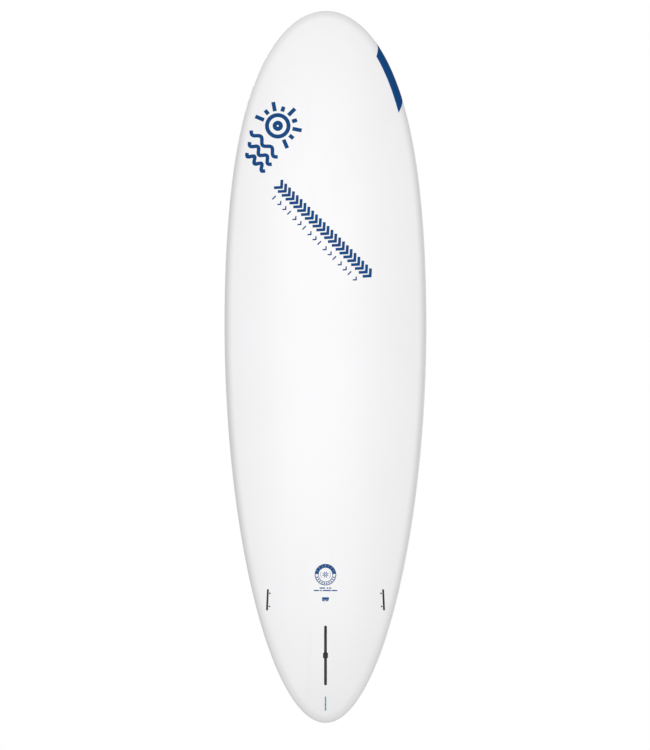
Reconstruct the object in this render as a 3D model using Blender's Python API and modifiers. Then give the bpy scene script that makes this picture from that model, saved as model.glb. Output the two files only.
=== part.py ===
"""A ten-foot windsurf board for light wind: a foam core with a wooden stringer, laminated skins, deck pads,
a mast track, a carry handle, an air vent, a leash plug, and one long and two short fin boxes, without fins.

The board lies on its bottom. +Z is up, the nose points along -Y and the board's left rail is at +X.
The origin is on the ground below the middle of the board. Lengths are in metres.
"""

import math

import bmesh
import bpy
from mathutils import Matrix, Vector

# Hull
LENGTH = 3.048
WIDTH = 0.8636
THICKNESS = 0.114
TIP_THICKNESS = 0.042
THICKNESS_FALL = 2.2
WIDE_POINT_FROM_TAIL = 1.707
NOSE_FULLNESS = 0.365
TAIL_FULLNESS = -0.094
NOSE_ROCKER = 0.125
NOSE_ROCKER_START = -0.35
NOSE_ROCKER_POWER = 2.4
TAIL_ROCKER_START = 0.25
TAIL_BEND = 0.60
TAIL_SLOPE = 0.0527
RAIL_TUCK = 0.034
DECK_RAIL = 0.070
APEX_SHARE = 0.40
DECK_CROWN = 2.6
RAIL_BAND = 0.001

# Laminate, core and fits
SKIN = 0.002
GAP = 0.0003
INSIDE = -(SKIN + GAP)
STRINGER = 0.006
CLEAR = 0.02

# Facets
TIP_STATIONS = 19
BOTTOM_STEPS = 4
DECK_RAIL_STEPS = 4
DECK_STEPS = 3
ROUND_END = 6
TURNED = 20

# Deck pads
PAD = 0.005
PAD_MARGIN = 0.095
PAD_SPLIT = 0.004
PAD_EDGES = (-0.74, -0.06, 0.62, 1.22)
PAD_LANE = 0.004
PAD_INNER_CUT = 0.008
KICK = 0.022
KICK_END = 1.345

# Mast track, on the deck
TRACK_Y = -0.29
TRACK_SLOT = (0.250, 0.0098)
TRACK_PLATE = (0.292, 0.042)
TRACK_TRUNK = (0.272, 0.030)
TRACK_PLATE_RISE = 0.0022
TRACK_DEPTH = 0.034
TRACK_GROOVE = (0.250, 0.0204)
TRACK_GROOVE_TOP = -0.007
TRACK_GROOVE_FLOOR = -0.0155
TRACK_SLOT_FLOOR = -0.028
TRACK_NOTCH = (0.026, 0.0224)
TRACK_BLOCK = (0.310, 0.074, 0.044)

# Handle, on the deck
HANDLE_Y = 0.115
HANDLE_MOUTH = (0.168, 0.098, 0.030)
HANDLE_FLANGE = (0.202, 0.132, 0.044)
HANDLE_FLOOR = (0.132, 0.064, 0.026)
HANDLE_DEPTH = 0.062
HANDLE_WALL = 0.0028
GRIP_WIDTH = 0.030
GRIP_HEIGHT = 0.020
GRIP_TOP = -0.004
LUG = (0.016, 0.040, 0.012)

# Air vent, on the deck
VENT_XY = (0.062, -0.83)
VENT_FLANGE_RADIUS = 0.017
VENT_BARREL_RADIUS = 0.0115
VENT_BORE_RADIUS = 0.0074
VENT_PLUG_RADIUS = 0.0070
VENT_HEAD_RADIUS = 0.0118
VENT_RECESS_RADIUS = 0.0130
VENT_DEPTH = 0.024

# Leash plug, on the deck
LEASH_Y = 1.43
LEASH_RADIUS = 0.019
LEASH_BOWL_RADIUS = 0.0145
LEASH_DEPTH = 0.021
LEASH_PIN_RADIUS = 0.0025
LEASH_PIN_DEPTH = 0.0065

# Long fin box, under the tail
FIN_Y = 1.2348
FIN_SLOT = (0.254, 0.0096)
FIN_NOTCH = (0.024, 0.0190)
FIN_LIP = 0.0008
FIN_FLANGE = (0.284, 0.036)
FIN_TRUNK = (0.270, 0.0255)
FIN_FLANGE_FLOOR = -0.0055
FIN_GROOVE = 0.0164
FIN_GROOVE_TOP = -0.012
FIN_GROOVE_FLOOR = -0.0175
FIN_SLOT_FLOOR = -0.029
FIN_DEPTH = 0.034
FIN_BLOCK = (0.304, 0.062, 0.0395)
PLATE = (0.0156, 0.0186, 0.0032)
FIN_SCREW_RADIUS = 0.0019
FIN_SCREW_HEAD_RADIUS = 0.0039
FIN_SCREW_HEAD_TOP = -0.0045
FIN_SCREW_LENGTH = 0.0145

# Short fin boxes, one near each rail
SIDE_FIN_X = 0.248
SIDE_FIN_Y = 0.9966
SIDE_FIN_TOE = math.radians(2.6)
SIDE_SLOT = (0.090, 0.0066)
SIDE_LIP = 0.0004
SIDE_FLANGE = (0.112, 0.026)
SIDE_TRUNK = (0.104, 0.022)
SIDE_INBOARD = 0.006
SIDE_FLANGE_FLOOR = -0.0050
SIDE_SLOT_FLOOR = -0.0165
SIDE_DEPTH = 0.0205
SIDE_BLOCK = (0.136, 0.050, 0.026)
GRUB_SPREAD = 0.0562
GRUB_OFFSET = 0.0096
GRUB_LEAN = math.radians(30)
GRUB_RADIUS = 0.00255
GRUB_BORE_RADIUS = 0.0029
GRUB_MOUTH_RADIUS = 0.0034
GRUB_LENGTH = 0.006
GRUB_DEPTH = 0.002
GRUB_HEX = 0.00135

COLOURS = {
    "paint": ((0.90, 0.90, 0.91), 0.25, 0.0),
    "foam": ((0.93, 0.93, 0.92), 0.90, 0.0),
    "dense_foam": ((0.85, 0.78, 0.55), 0.80, 0.0),
    "wood": ((0.62, 0.46, 0.28), 0.60, 0.0),
    "pad": ((0.32, 0.37, 0.42), 0.85, 0.0),
    "pad_dark": ((0.02, 0.09, 0.19), 0.85, 0.0),
    "plastic": ((0.03, 0.03, 0.032), 0.50, 0.0),
    "grip": ((0.05, 0.05, 0.055), 0.75, 0.0),
    "steel": ((0.62, 0.63, 0.65), 0.28, 1.0),
    "seal": ((0.02, 0.02, 0.02), 0.60, 0.0),
}


# ---------------------------------------------------------------- scene and materials


def start_collections():
    """Empties the scene and returns the collection of the board and the hidden one of its cutters."""
    for old in list(bpy.data.objects):
        bpy.data.objects.remove(old)
    board = bpy.data.collections.new("windsurf_board")
    tools = bpy.data.collections.new("cutters")
    for collection in (board, tools):
        bpy.context.scene.collection.children.link(collection)
    return board, tools


BOARD, CUTTERS = start_collections()


def finish_of(name):
    """The material called name, made the first time it is asked for."""
    material = bpy.data.materials.get(name)
    if material:
        return material
    colour, roughness, metallic = COLOURS[name]
    material = bpy.data.materials.new(name)
    material.use_nodes = True
    surface = material.node_tree.nodes["Principled BSDF"]
    surface.inputs["Base Color"].default_value = (*colour, 1.0)
    surface.inputs["Roughness"].default_value = roughness
    surface.inputs["Metallic"].default_value = metallic
    material.diffuse_color = (*colour, 1.0)
    return material


def placed(name, data, finish=None, seat=None):
    """An object with this mesh in the board, or among the cutters when it has no finish."""
    thing = bpy.data.objects.new(name, data)
    if finish:
        data.materials.append(finish_of(finish))
        BOARD.objects.link(thing)
    else:
        CUTTERS.objects.link(thing)
        thing.hide_render = True
        thing.display_type = "WIRE"
    thing.parent = seat
    return thing


def seat_at(name, x, y, on_deck, toe=0.0):
    """An empty on the skin at x, y with its Z pointing out of the board and its Y towards the tail."""
    step = 0.001
    height = deck_height if on_deck else rocker
    slope = (height(y + step) - height(y - step)) / (2 * step)
    out = Vector((0, -slope, 1)) if on_deck else Vector((0, slope, -1))
    out.normalize()
    aft = Vector((0, 1, slope)).normalized()
    turn = Matrix((aft.cross(out), aft, out)).transposed().to_4x4()
    seat = bpy.data.objects.new(name, None)
    BOARD.objects.link(seat)
    seat.matrix_world = Matrix.Translation((x, y, height(y))) @ turn @ Matrix.Rotation(toe, 4, "Z")
    return seat


def boolean(thing, operation, other):
    """Adds an exact Boolean with another object."""
    cut = thing.modifiers.new(other.name, "BOOLEAN")
    cut.operation = operation
    cut.solver = "EXACT"
    cut.object = other


def cut_from(cutter, *things):
    """Takes the cutter's shape out of each thing."""
    for thing in things:
        boolean(thing, "DIFFERENCE", cutter)


# ---------------------------------------------------------------- hull form


def half_width(y):
    """Half the board's width at y."""
    wide_y = LENGTH / 2 - WIDE_POINT_FROM_TAIL
    nose, tail = wide_y + LENGTH / 2, WIDE_POINT_FROM_TAIL
    share, fullness = ((wide_y - y) / nose, NOSE_FULLNESS) if y < wide_y else ((y - wide_y) / tail, TAIL_FULLNESS)
    return WIDTH / 2 * math.sqrt(max(0.0, (1 - share**2) * (1 + fullness * share**2)))


def rocker(y):
    """Height of the bottom: flat under the rider, curved up to the nose, and bent up to a straight tail."""
    if y < NOSE_ROCKER_START:
        share = (NOSE_ROCKER_START - y) / (LENGTH / 2 + NOSE_ROCKER_START)
        return NOSE_ROCKER * share**NOSE_ROCKER_POWER
    run = max(0.0, y - TAIL_ROCKER_START)
    bend = min(run, TAIL_BEND)
    return TAIL_SLOPE * (bend**2 / (2 * TAIL_BEND) + run - bend)


def thickness(y):
    """Thickness of the board on its centre line."""
    share = min(1.0, abs(y) / (LENGTH / 2))
    return TIP_THICKNESS + (THICKNESS - TIP_THICKNESS) * (1 - share**THICKNESS_FALL)


def deck_height(y):
    """Height of the deck on its centre line."""
    return rocker(y) + thickness(y)


def outline_stations():
    """Points round the left half of the outline from nose to tail, each with its inward normal."""
    wide_y = LENGTH / 2 - WIDE_POINT_FROM_TAIL
    nose, tail = wide_y + LENGTH / 2, WIDE_POINT_FROM_TAIL

    def point(angle):
        reach, fullness = (nose, NOSE_FULLNESS) if angle < math.pi / 2 else (tail, TAIL_FULLNESS)
        share = math.cos(angle)
        fill = math.sqrt(1 + fullness * share**2)
        return Vector((WIDTH / 2 * math.sin(angle) * fill, wide_y - reach * share))

    count = 2 * TIP_STATIONS
    for k in range(count + 1):
        angle = math.pi * k / count
        before, after = point(max(0.0, angle - 0.001)), point(min(math.pi, angle + 0.001))
        along = (after - before).normalized()
        inward = Vector((-along.y, along.x))
        if k in (0, count):
            inward = Vector((0, 1 if k == 0 else -1))
        yield point(angle), inward


def bottom_columns(edge, inward):
    """Points across the bottom from the rail's apex to the centre line."""
    points = []
    for k in range(BOTTOM_STEPS + 1):
        angle = math.pi / 2 * (1 - k / BOTTOM_STEPS)
        at = edge + inward * RAIL_TUCK * (1 - math.sin(angle))
        lift = APEX_SHARE * thickness(at.y) * (1 - math.cos(angle))
        points.append((max(0.0, at.x), at.y, rocker(at.y) + lift))
    x, y, apex = points[0]
    points.insert(1, (x, y, apex - RAIL_BAND))
    flat = edge + inward * RAIL_TUCK
    points.append((0.0, flat.y, rocker(flat.y)))
    return points


def deck_columns(edge, inward):
    """Points across the deck from just above the rail's apex to the centre line."""
    inner = edge + inward * DECK_RAIL
    reach = DECK_RAIL + max(0.0, inner.x)
    steps = [DECK_RAIL * (k / DECK_RAIL_STEPS) ** 2 for k in range(DECK_RAIL_STEPS + 1)]
    places = [(edge + inward * step, step) for step in steps]
    for k in range(1, DECK_STEPS + 1):
        share = k / DECK_STEPS
        places.append((Vector((inner.x * (1 - share), inner.y)), DECK_RAIL + inner.x * share))
    points = []
    for at, step in places:
        rise = math.sqrt(max(0.0, 1 - (1 - step / reach) ** DECK_CROWN))
        apex = APEX_SHARE * thickness(at.y) + GAP
        lift = apex + (thickness(at.y) - apex) * rise
        points.append((max(0.0, at.x), at.y, rocker(at.y) + lift))
    x, y, apex = points[0]
    points.insert(1, (x, y, apex + RAIL_BAND))
    return points


def core_columns(edge, inward):
    """Points round the whole half section, from the bottom's centre line over the rail to the deck's."""
    return bottom_columns(edge, inward)[::-1] + deck_columns(edge, inward)[1:]


def lofted_half(name, columns, up):
    """A mesh through the sections of the left half, open on the centre plane. up says whether it faces up."""
    shape = bmesh.new()
    rows = [[shape.verts.new(p) for p in columns(*station)] for station in outline_stations()]
    for row, following in zip(rows, rows[1:]):
        for k in range(len(row) - 1):
            shape.faces.new((row[k], following[k], following[k + 1], row[k + 1]))
    bmesh.ops.remove_doubles(shape, verts=shape.verts, dist=1e-5)
    bmesh.ops.triangulate(shape, faces=shape.faces, quad_method="SHORT_EDGE")
    bmesh.ops.recalc_face_normals(shape, faces=shape.faces)
    shape.normal_update()
    if up is not None:
        facing = sum(face.normal.z * face.calc_area() for face in shape.faces)
        if (facing > 0) != up:
            bmesh.ops.reverse_faces(shape, faces=shape.faces)
    mesh = bpy.data.meshes.new(name)
    shape.to_mesh(mesh)
    shape.free()
    mesh.shade_smooth()
    return mesh


def mirrored(thing):
    """Adds the right half."""
    mirror = thing.modifiers.new("right_half", "MIRROR")
    mirror.merge_threshold = 0.0001
    mirror.use_clip = True


def pushed(thing, distance):
    """Moves every point along its normal."""
    push = thing.modifiers.new("offset", "DISPLACE")
    push.direction = "NORMAL"
    push.mid_level = 0.0
    push.strength = distance


def thickened(thing, depth, side):
    """Gives an open surface a thickness, inwards for side -1 and outwards for side 1."""
    solid = thing.modifiers.new("laminate", "SOLIDIFY")
    solid.thickness = depth
    solid.offset = side


# ---------------------------------------------------------------- simple solids


def ring_of(points, z, shift=0.0):
    """A closed ring of outline points at one height, moved sideways where a shift is given."""
    return [(x + shift, y, z) for x, y in points]


def stacked(name, rings, finish=None, seat=None):
    """A closed solid through rings of equally many points, listed from the top down."""
    shape = bmesh.new()
    loops = [[shape.verts.new(p) for p in ring] for ring in rings]
    for upper, lower in zip(loops, loops[1:]):
        for k in range(len(upper)):
            following = (k + 1) % len(upper)
            shape.faces.new((upper[k], lower[k], lower[following], upper[following]))
    shape.faces.new(loops[0])
    shape.faces.new(loops[-1][::-1])
    bmesh.ops.recalc_face_normals(shape, faces=shape.faces)
    mesh = bpy.data.meshes.new(name)
    shape.to_mesh(mesh)
    shape.free()
    return placed(name, mesh, finish, seat)


def slot_outline(size, notch=None, notch_y=0.0, grow=0.0):
    """Points round a slot along Y with round ends, and with a wider chamfered notch where one is given."""
    length, width = size[0] + 2 * grow, size[1] + 2 * grow
    radius = width / 2
    notch_length, notch_width = notch if notch else (0.024, size[1])
    half, side = notch_length / 2 + grow, notch_width / 2 + grow
    chamfer = min(0.003, half / 2)
    bumps = [(radius, -half), (side, -half + chamfer), (side, half - chamfer), (radius, half)]
    right = [(x, notch_y + y) for x, y in bumps]
    centre = length / 2 - radius

    def end(start, y):
        for k in range(ROUND_END + 1):
            angle = start + math.pi * k / ROUND_END
            yield radius * math.cos(angle), y + radius * math.sin(angle)

    return [*right, *end(0, centre), *((-x, y) for x, y in reversed(right)), *end(math.pi, -centre)]


def rounded_outline(length, width, radius, grow=0.0):
    """Points round a rectangle with round corners, the length along Y."""
    half_x, half_y, radius = width / 2 + grow, length / 2 + grow, radius + grow
    corners = ((1, 1), (-1, 1), (-1, -1), (1, -1))
    points = []
    for k, (sx, sy) in enumerate(corners):
        for j in range(4):
            angle = math.pi / 2 * (k + j / 3)
            points.append(
                (sx * (half_x - radius) + radius * math.cos(angle), sy * (half_y - radius) + radius * math.sin(angle))
            )
    return points


def turned(name, profile, finish=None, seat=None, steps=TURNED):
    """A closed solid turned about Z from (radius, z) points that run down its outside and back up any bore."""
    mesh = bpy.data.meshes.new(name)
    edges = [(k, k + 1) for k in range(len(profile) - 1)]
    if profile[0][0] > 0:
        edges.append((len(profile) - 1, 0))
    mesh.from_pydata([(r, 0, z) for r, z in profile], edges, [])
    thing = placed(name, mesh, finish, seat)
    screw = thing.modifiers.new("turn", "SCREW")
    screw.steps = steps
    screw.render_steps = steps
    screw.use_merge_vertices = True
    screw.merge_threshold = 0.00001
    return thing


def cylinder(name, radius, low, high, sides, finish=None, seat=None):
    """A closed prism about Z with this many sides."""
    shape = bmesh.new()
    bmesh.ops.create_cone(
        shape, cap_ends=True, segments=sides, radius1=radius, radius2=radius, depth=high - low,
        matrix=Matrix.Translation((0, 0, (low + high) / 2)),
    )
    mesh = bpy.data.meshes.new(name)
    shape.to_mesh(mesh)
    shape.free()
    return placed(name, mesh, finish, seat)


def box(name, low, high, finish=None, seat=None):
    """A closed box between two corners."""
    middle = (Vector(low) + Vector(high)) / 2
    size = Vector(high) - Vector(low)
    shape = bmesh.new()
    bmesh.ops.create_cube(shape, size=1.0, matrix=Matrix.Translation(middle) @ Matrix.Diagonal((*size, 1.0)))
    mesh = bpy.data.meshes.new(name)
    shape.to_mesh(mesh)
    shape.free()
    return placed(name, mesh, finish, seat)


# ---------------------------------------------------------------- hull pieces


def build_skins():
    """The bottom and deck laminates, which meet along the apex of the rails."""
    skins = []
    for name, columns, up in (("bottom_skin", bottom_columns, False), ("deck_skin", deck_columns, True)):
        skin = placed(name, lofted_half(name, columns, up), "paint")
        mirrored(skin)
        thickened(skin, SKIN, -1)
        skins.append(skin)
    return skins


def build_core():
    """The two halves of the foam blank and the plank between them."""
    mesh = lofted_half("core", core_columns, None)
    reach = LENGTH
    half, seam = STRINGER / 2, STRINGER / 2 + GAP
    spans = (
        ("foam_core_left", "foam", seam, reach),
        ("foam_core_right", "foam", -reach, -seam),
        ("stringer", "wood", -half, half),
    )
    pieces = []
    for name, finish, low, high in spans:
        piece = placed(name, mesh.copy(), finish)
        mirrored(piece)
        pushed(piece, INSIDE)
        boolean(piece, "INTERSECT", box(f"{name}_span", (low, -reach, -1), (high, reach, 1)))
        pieces.append(piece)
    return pieces


def pad_outline(front, back, inner=None, steps=7):
    """Points round a pad between two stations, with cut corners, which keeps its distance from the rails.

    A pad beside the mast track covers the left half of the deck only, out from its inner edge.
    """
    corner = 0.025
    low, high = front + corner, back - corner
    ys = [low + (high - low) * k / steps for k in range(steps + 1)]
    left = [(half_width(y) - PAD_MARGIN, y) for y in ys]
    left = [(left[0][0] - corner, front), *left, (left[-1][0] - corner, back)]
    if inner is None:
        return left + [(-x, y) for x, y in reversed(left)]
    cut = PAD_INNER_CUT
    return left + [(inner + cut, back), (inner, back - cut), (inner, front + cut), (inner + cut, front)]


def build_pads():
    """The grip pads, with a lane between two of them for the mast track, and the kick at the tail."""
    lane = TRACK_PLATE[1] / 2 + PAD_LANE
    lane_front = TRACK_Y - TRACK_PLATE[0] / 2 - PAD_LANE * 2
    beside = pad_outline(lane_front, PAD_EDGES[1] - PAD_SPLIT, lane)
    outlines = {
        "pad_front": pad_outline(PAD_EDGES[0], lane_front - PAD_SPLIT),
        "pad_mast_left": beside,
        "pad_mast_right": [(-x, y) for x, y in reversed(beside)],
        "pad_centre": pad_outline(PAD_EDGES[1], PAD_EDGES[2] - PAD_SPLIT),
        "pad_rear": pad_outline(PAD_EDGES[2], PAD_EDGES[3] - PAD_SPLIT),
        "pad_kick": pad_outline(PAD_EDGES[3], KICK_END),
    }
    sheet = lofted_half("pad", deck_columns, True)
    pads = {}
    for name, outline in outlines.items():
        kick = name == "pad_kick"
        pad = placed(name, sheet.copy(), "pad_dark" if kick else "pad")
        mirrored(pad)
        pushed(pad, GAP)
        thickened(pad, KICK if kick else PAD, 1)
        boolean(pad, "INTERSECT", stacked(f"{name}_outline", [ring_of(outline, 1), ring_of(outline, -0.1)]))
        pads[name] = pad
    return pads


# ---------------------------------------------------------------- fittings


def dense_block(name, size, radius, seat, cores, shift=0.0):
    """A block of dense foam let into the core, shaped with the core's surface, and the hole that takes it."""
    length, width, depth = size
    outline, room = rounded_outline(length, width, radius), rounded_outline(length, width, radius, GAP)
    blank = cores[0].data.copy()
    blank.materials.clear()
    block = placed(name, blank, "dense_foam")
    mirrored(block)
    pushed(block, INSIDE)
    span = stacked(f"{name}_span", [ring_of(outline, CLEAR, shift), ring_of(outline, -depth, shift)], seat=seat)
    boolean(block, "INTERSECT", span)
    hole = stacked(f"{name}_room", [ring_of(room, CLEAR, shift), ring_of(room, -depth - GAP, shift)], seat=seat)
    cut_from(hole, *cores)
    return block


def build_mast_track(deck_skin, cores):
    """The slotted track that takes the mast foot, with its sliding nut."""
    seat = seat_at("mast_track_seat", 0, TRACK_Y, True)
    plate, trunk = slot_outline(TRACK_PLATE), slot_outline(TRACK_TRUNK)
    track = stacked(
        "mast_track_box",
        [
            ring_of(plate, GAP + TRACK_PLATE_RISE), ring_of(plate, GAP),
            ring_of(trunk, GAP), ring_of(trunk, -TRACK_DEPTH),
        ],
        "plastic", seat,
    )
    notch_y = (TRACK_SLOT[0] - TRACK_NOTCH[0]) / 2 - 0.012
    slot = slot_outline(TRACK_SLOT, (TRACK_NOTCH[0], TRACK_SLOT[1]), notch_y)
    mouth = slot_outline(TRACK_SLOT, TRACK_NOTCH, notch_y)
    groove = slot_outline(TRACK_GROOVE, TRACK_NOTCH, notch_y, GAP)
    cut_from(
        stacked(
            "mast_slot",
            [
                ring_of(mouth, CLEAR), ring_of(mouth, TRACK_GROOVE_TOP), ring_of(groove, TRACK_GROOVE_TOP),
                ring_of(groove, TRACK_GROOVE_FLOOR), ring_of(slot, TRACK_GROOVE_FLOOR), ring_of(slot, TRACK_SLOT_FLOOR),
            ],
            seat=seat,
        ),
        track,
    )
    block = dense_block("mast_track_block", TRACK_BLOCK, 0.012, seat, cores)
    room = slot_outline(TRACK_TRUNK, grow=GAP)
    cut_from(
        stacked("mast_trunk_room", [ring_of(room, CLEAR), ring_of(room, -TRACK_DEPTH - GAP)], seat=seat),
        deck_skin, block,
    )
    build_mast_nut(seat)


def build_mast_nut(seat):
    """The T-shaped nut that slides along the track, its neck up in the slot."""
    low, shoulder, high = TRACK_GROOVE_FLOOR + GAP, TRACK_GROOVE_TOP - 0.0006, -0.002
    foot = rounded_outline(0.022, TRACK_GROOVE[1] - 0.0012, 0.002)
    neck = rounded_outline(0.018, TRACK_SLOT[1] - 0.0010, 0.002)
    nut = stacked(
        "mast_nut", [ring_of(neck, high), ring_of(neck, shoulder), ring_of(foot, shoulder), ring_of(foot, low)],
        "steel", seat,
    )
    cut_from(cylinder("mast_nut_thread", 0.0034, low - CLEAR, high + CLEAR, 16, seat=seat), nut)


def build_handle(deck_skin, cores, pads):
    """The moulded cup, and the grip that bridges it on two screws."""
    seat = seat_at("handle_seat", 0, HANDLE_Y, True)
    top = GAP + 0.002
    levels = (
        (HANDLE_FLANGE, top), (HANDLE_FLANGE, GAP), (HANDLE_MOUTH, GAP), (HANDLE_FLOOR, -HANDLE_DEPTH),
    )
    wall = HANDLE_WALL
    cup = stacked(
        "handle_cup",
        [ring_of(rounded_outline(*size, 0 if k < 2 else wall), z) for k, (size, z) in enumerate(levels)],
        "plastic", seat,
    )
    hollow = stacked(
        "handle_hollow",
        [
            ring_of(rounded_outline(*HANDLE_MOUTH), CLEAR), ring_of(rounded_outline(*HANDLE_MOUTH), GAP),
            ring_of(rounded_outline(*HANDLE_FLOOR), wall - HANDLE_DEPTH),
        ],
        seat=seat,
    )
    cut_from(hollow, cup)
    room = stacked(
        "handle_room",
        [
            ring_of(rounded_outline(*HANDLE_MOUTH, wall + GAP), CLEAR),
            ring_of(rounded_outline(*HANDLE_MOUTH, wall + GAP), GAP),
            ring_of(rounded_outline(*HANDLE_FLOOR, wall + GAP), -HANDLE_DEPTH - GAP),
        ],
        seat=seat,
    )
    cut_from(room, deck_skin, *cores)
    around = rounded_outline(*HANDLE_FLANGE, 0.004)
    cut_from(stacked("handle_pad_room", [ring_of(around, CLEAR), ring_of(around, -CLEAR)], seat=seat), pads["pad_centre"])

    span = HANDLE_MOUTH[0] - 0.018
    grip = stacked(
        "handle_grip",
        [
            ring_of(rounded_outline(span, GRIP_WIDTH * 0.6, 0.004), GRIP_TOP),
            ring_of(rounded_outline(span, GRIP_WIDTH, 0.006), GRIP_TOP - 0.005),
            ring_of(rounded_outline(span, GRIP_WIDTH, 0.006), GRIP_TOP - 0.011),
            ring_of(rounded_outline(span - 0.02, GRIP_WIDTH * 0.55, 0.004), GRIP_TOP - GRIP_HEIGHT),
        ],
        "grip", seat,
    )
    for end, word in ((-1, "front"), (1, "rear")):
        build_handle_end(end, word, seat, cup, grip, cores)


def build_handle_end(end, word, seat, cup, grip, cores):
    """The ledge at one end of the cup, and the screw that holds the grip down on it."""
    ledge_top = GRIP_TOP - GRIP_HEIGHT - GAP
    reach = HANDLE_MOUTH[0] / 2
    screw_y = end * (reach - 0.020)
    inner, outer = sorted((end * (reach - 0.034), end * (reach - 0.001)))
    ledge = box(f"handle_ledge_{word}", (-LUG[1] / 2, inner, ledge_top - 0.014), (LUG[1] / 2, outer, ledge_top), seat=seat)
    boolean(cup, "UNION", ledge)
    room = box(
        f"handle_ledge_room_{word}", (-LUG[1] / 2 - GAP, inner - GAP, ledge_top - 0.014 - GAP),
        (LUG[1] / 2 + GAP, outer + GAP, ledge_top + GAP), seat=seat,
    )
    cut_from(room, *cores)
    pivot = bpy.data.objects.new(f"handle_screw_seat_{word}", None)
    BOARD.objects.link(pivot)
    pivot.parent = seat
    pivot.location = (0, screw_y, 0)
    head, sink = GRIP_TOP - 0.002, GRIP_TOP - 0.0055
    turned(
        f"handle_screw_{word}",
        [(0, head), (0.0040, head), (0.0040, sink + 0.001), (0.0020, sink - 0.0012), (0.0020, ledge_top - 0.010), (0, ledge_top - 0.0115)],
        "steel", pivot, 12,
    )
    cut_from(
        turned(
            f"handle_screw_room_{word}",
            [
                (0, CLEAR), (0.0044, CLEAR), (0.0044, sink + 0.0006), (0.0024, sink - 0.0018),
                (0.0024, ledge_top - 0.0125), (0, ledge_top - 0.0125),
            ],
            seat=pivot, steps=12,
        ),
        grip, cup,
    )


def build_vent(deck_skin, cores):
    """The vent's cup, breather disc, sealing ring and screw plug."""
    seat = seat_at("vent_seat", *VENT_XY, True)
    seat.location.z -= crown_drop(VENT_XY[0], VENT_XY[1])
    rim, recess_floor, bore_floor = GAP + 0.0012, -0.0042, -0.019
    cup_outside = [(0, rim), (VENT_FLANGE_RADIUS, rim), (VENT_FLANGE_RADIUS, GAP), (VENT_BARREL_RADIUS + 0.0035, GAP)]
    cup_outside += [(VENT_BARREL_RADIUS + 0.0035, -0.007), (VENT_BARREL_RADIUS, -0.007)]
    cup = turned(
        "vent_cup", [*cup_outside, (VENT_BARREL_RADIUS, -VENT_DEPTH), (0, -VENT_DEPTH)], "plastic", seat
    )
    cut_from(
        turned(
            "vent_bore",
            [
                (0, CLEAR), (VENT_RECESS_RADIUS, CLEAR), (VENT_RECESS_RADIUS, recess_floor),
                (VENT_BORE_RADIUS, recess_floor), (VENT_BORE_RADIUS, bore_floor), (0.003, bore_floor),
                (0.003, -VENT_DEPTH - 0.002), (0, -VENT_DEPTH - 0.002),
            ],
            seat=seat,
        ),
        cup,
    )
    shoulder, barrel = VENT_BARREL_RADIUS + 0.0035 + GAP, VENT_BARREL_RADIUS + GAP
    cut_from(
        turned(
            "vent_room",
            [
                (0, CLEAR), (shoulder, CLEAR), (shoulder, -0.007 - GAP), (barrel, -0.007 - GAP),
                (barrel, -VENT_DEPTH - GAP), (0, -VENT_DEPTH - GAP),
            ],
            seat=seat,
        ),
        deck_skin, *cores,
    )
    turned("vent_disc", [(0, bore_floor + 0.0012), (0.0066, bore_floor + 0.0012), (0.0066, bore_floor + GAP), (0, bore_floor + GAP)], "foam", seat, 16)
    ring_radius, ring_thick = 0.0092, 0.0009
    bpy.ops.mesh.primitive_torus_add(
        major_radius=ring_radius, minor_radius=ring_thick, major_segments=20, minor_segments=6,
        location=(0, 0, recess_floor + GAP + ring_thick),
    )
    ring = bpy.context.active_object
    for collection in list(ring.users_collection):
        collection.objects.unlink(ring)
    BOARD.objects.link(ring)
    ring.name = "vent_seal"
    ring.data.materials.append(finish_of("seal"))
    ring.parent = seat
    under_head = recess_floor + 2 * GAP + 2 * ring_thick
    plug = turned(
        "vent_plug",
        [
            (0, 0.0006), (VENT_HEAD_RADIUS - 0.001, 0.0006), (VENT_HEAD_RADIUS, -0.0004), (VENT_HEAD_RADIUS, under_head),
            (VENT_PLUG_RADIUS, under_head), (VENT_PLUG_RADIUS, -0.0155), (VENT_PLUG_RADIUS - 0.001, -0.0165), (0, -0.0165),
        ],
        "plastic", seat,
    )
    cut_from(box("vent_coin_slot", (-0.0085, -0.0011, -0.0014), (0.0085, 0.0011, CLEAR), seat=seat), plug)


def crown_drop(x, y):
    """How far the deck has fallen at x from its height on the centre line."""
    apex = APEX_SHARE * thickness(y) + GAP
    inner = half_width(y) - DECK_RAIL
    step = DECK_RAIL + (inner - abs(x))
    rise = math.sqrt(max(0.0, 1 - (1 - step / half_width(y)) ** DECK_CROWN))
    return (thickness(y) - apex) * (1 - rise)


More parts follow.
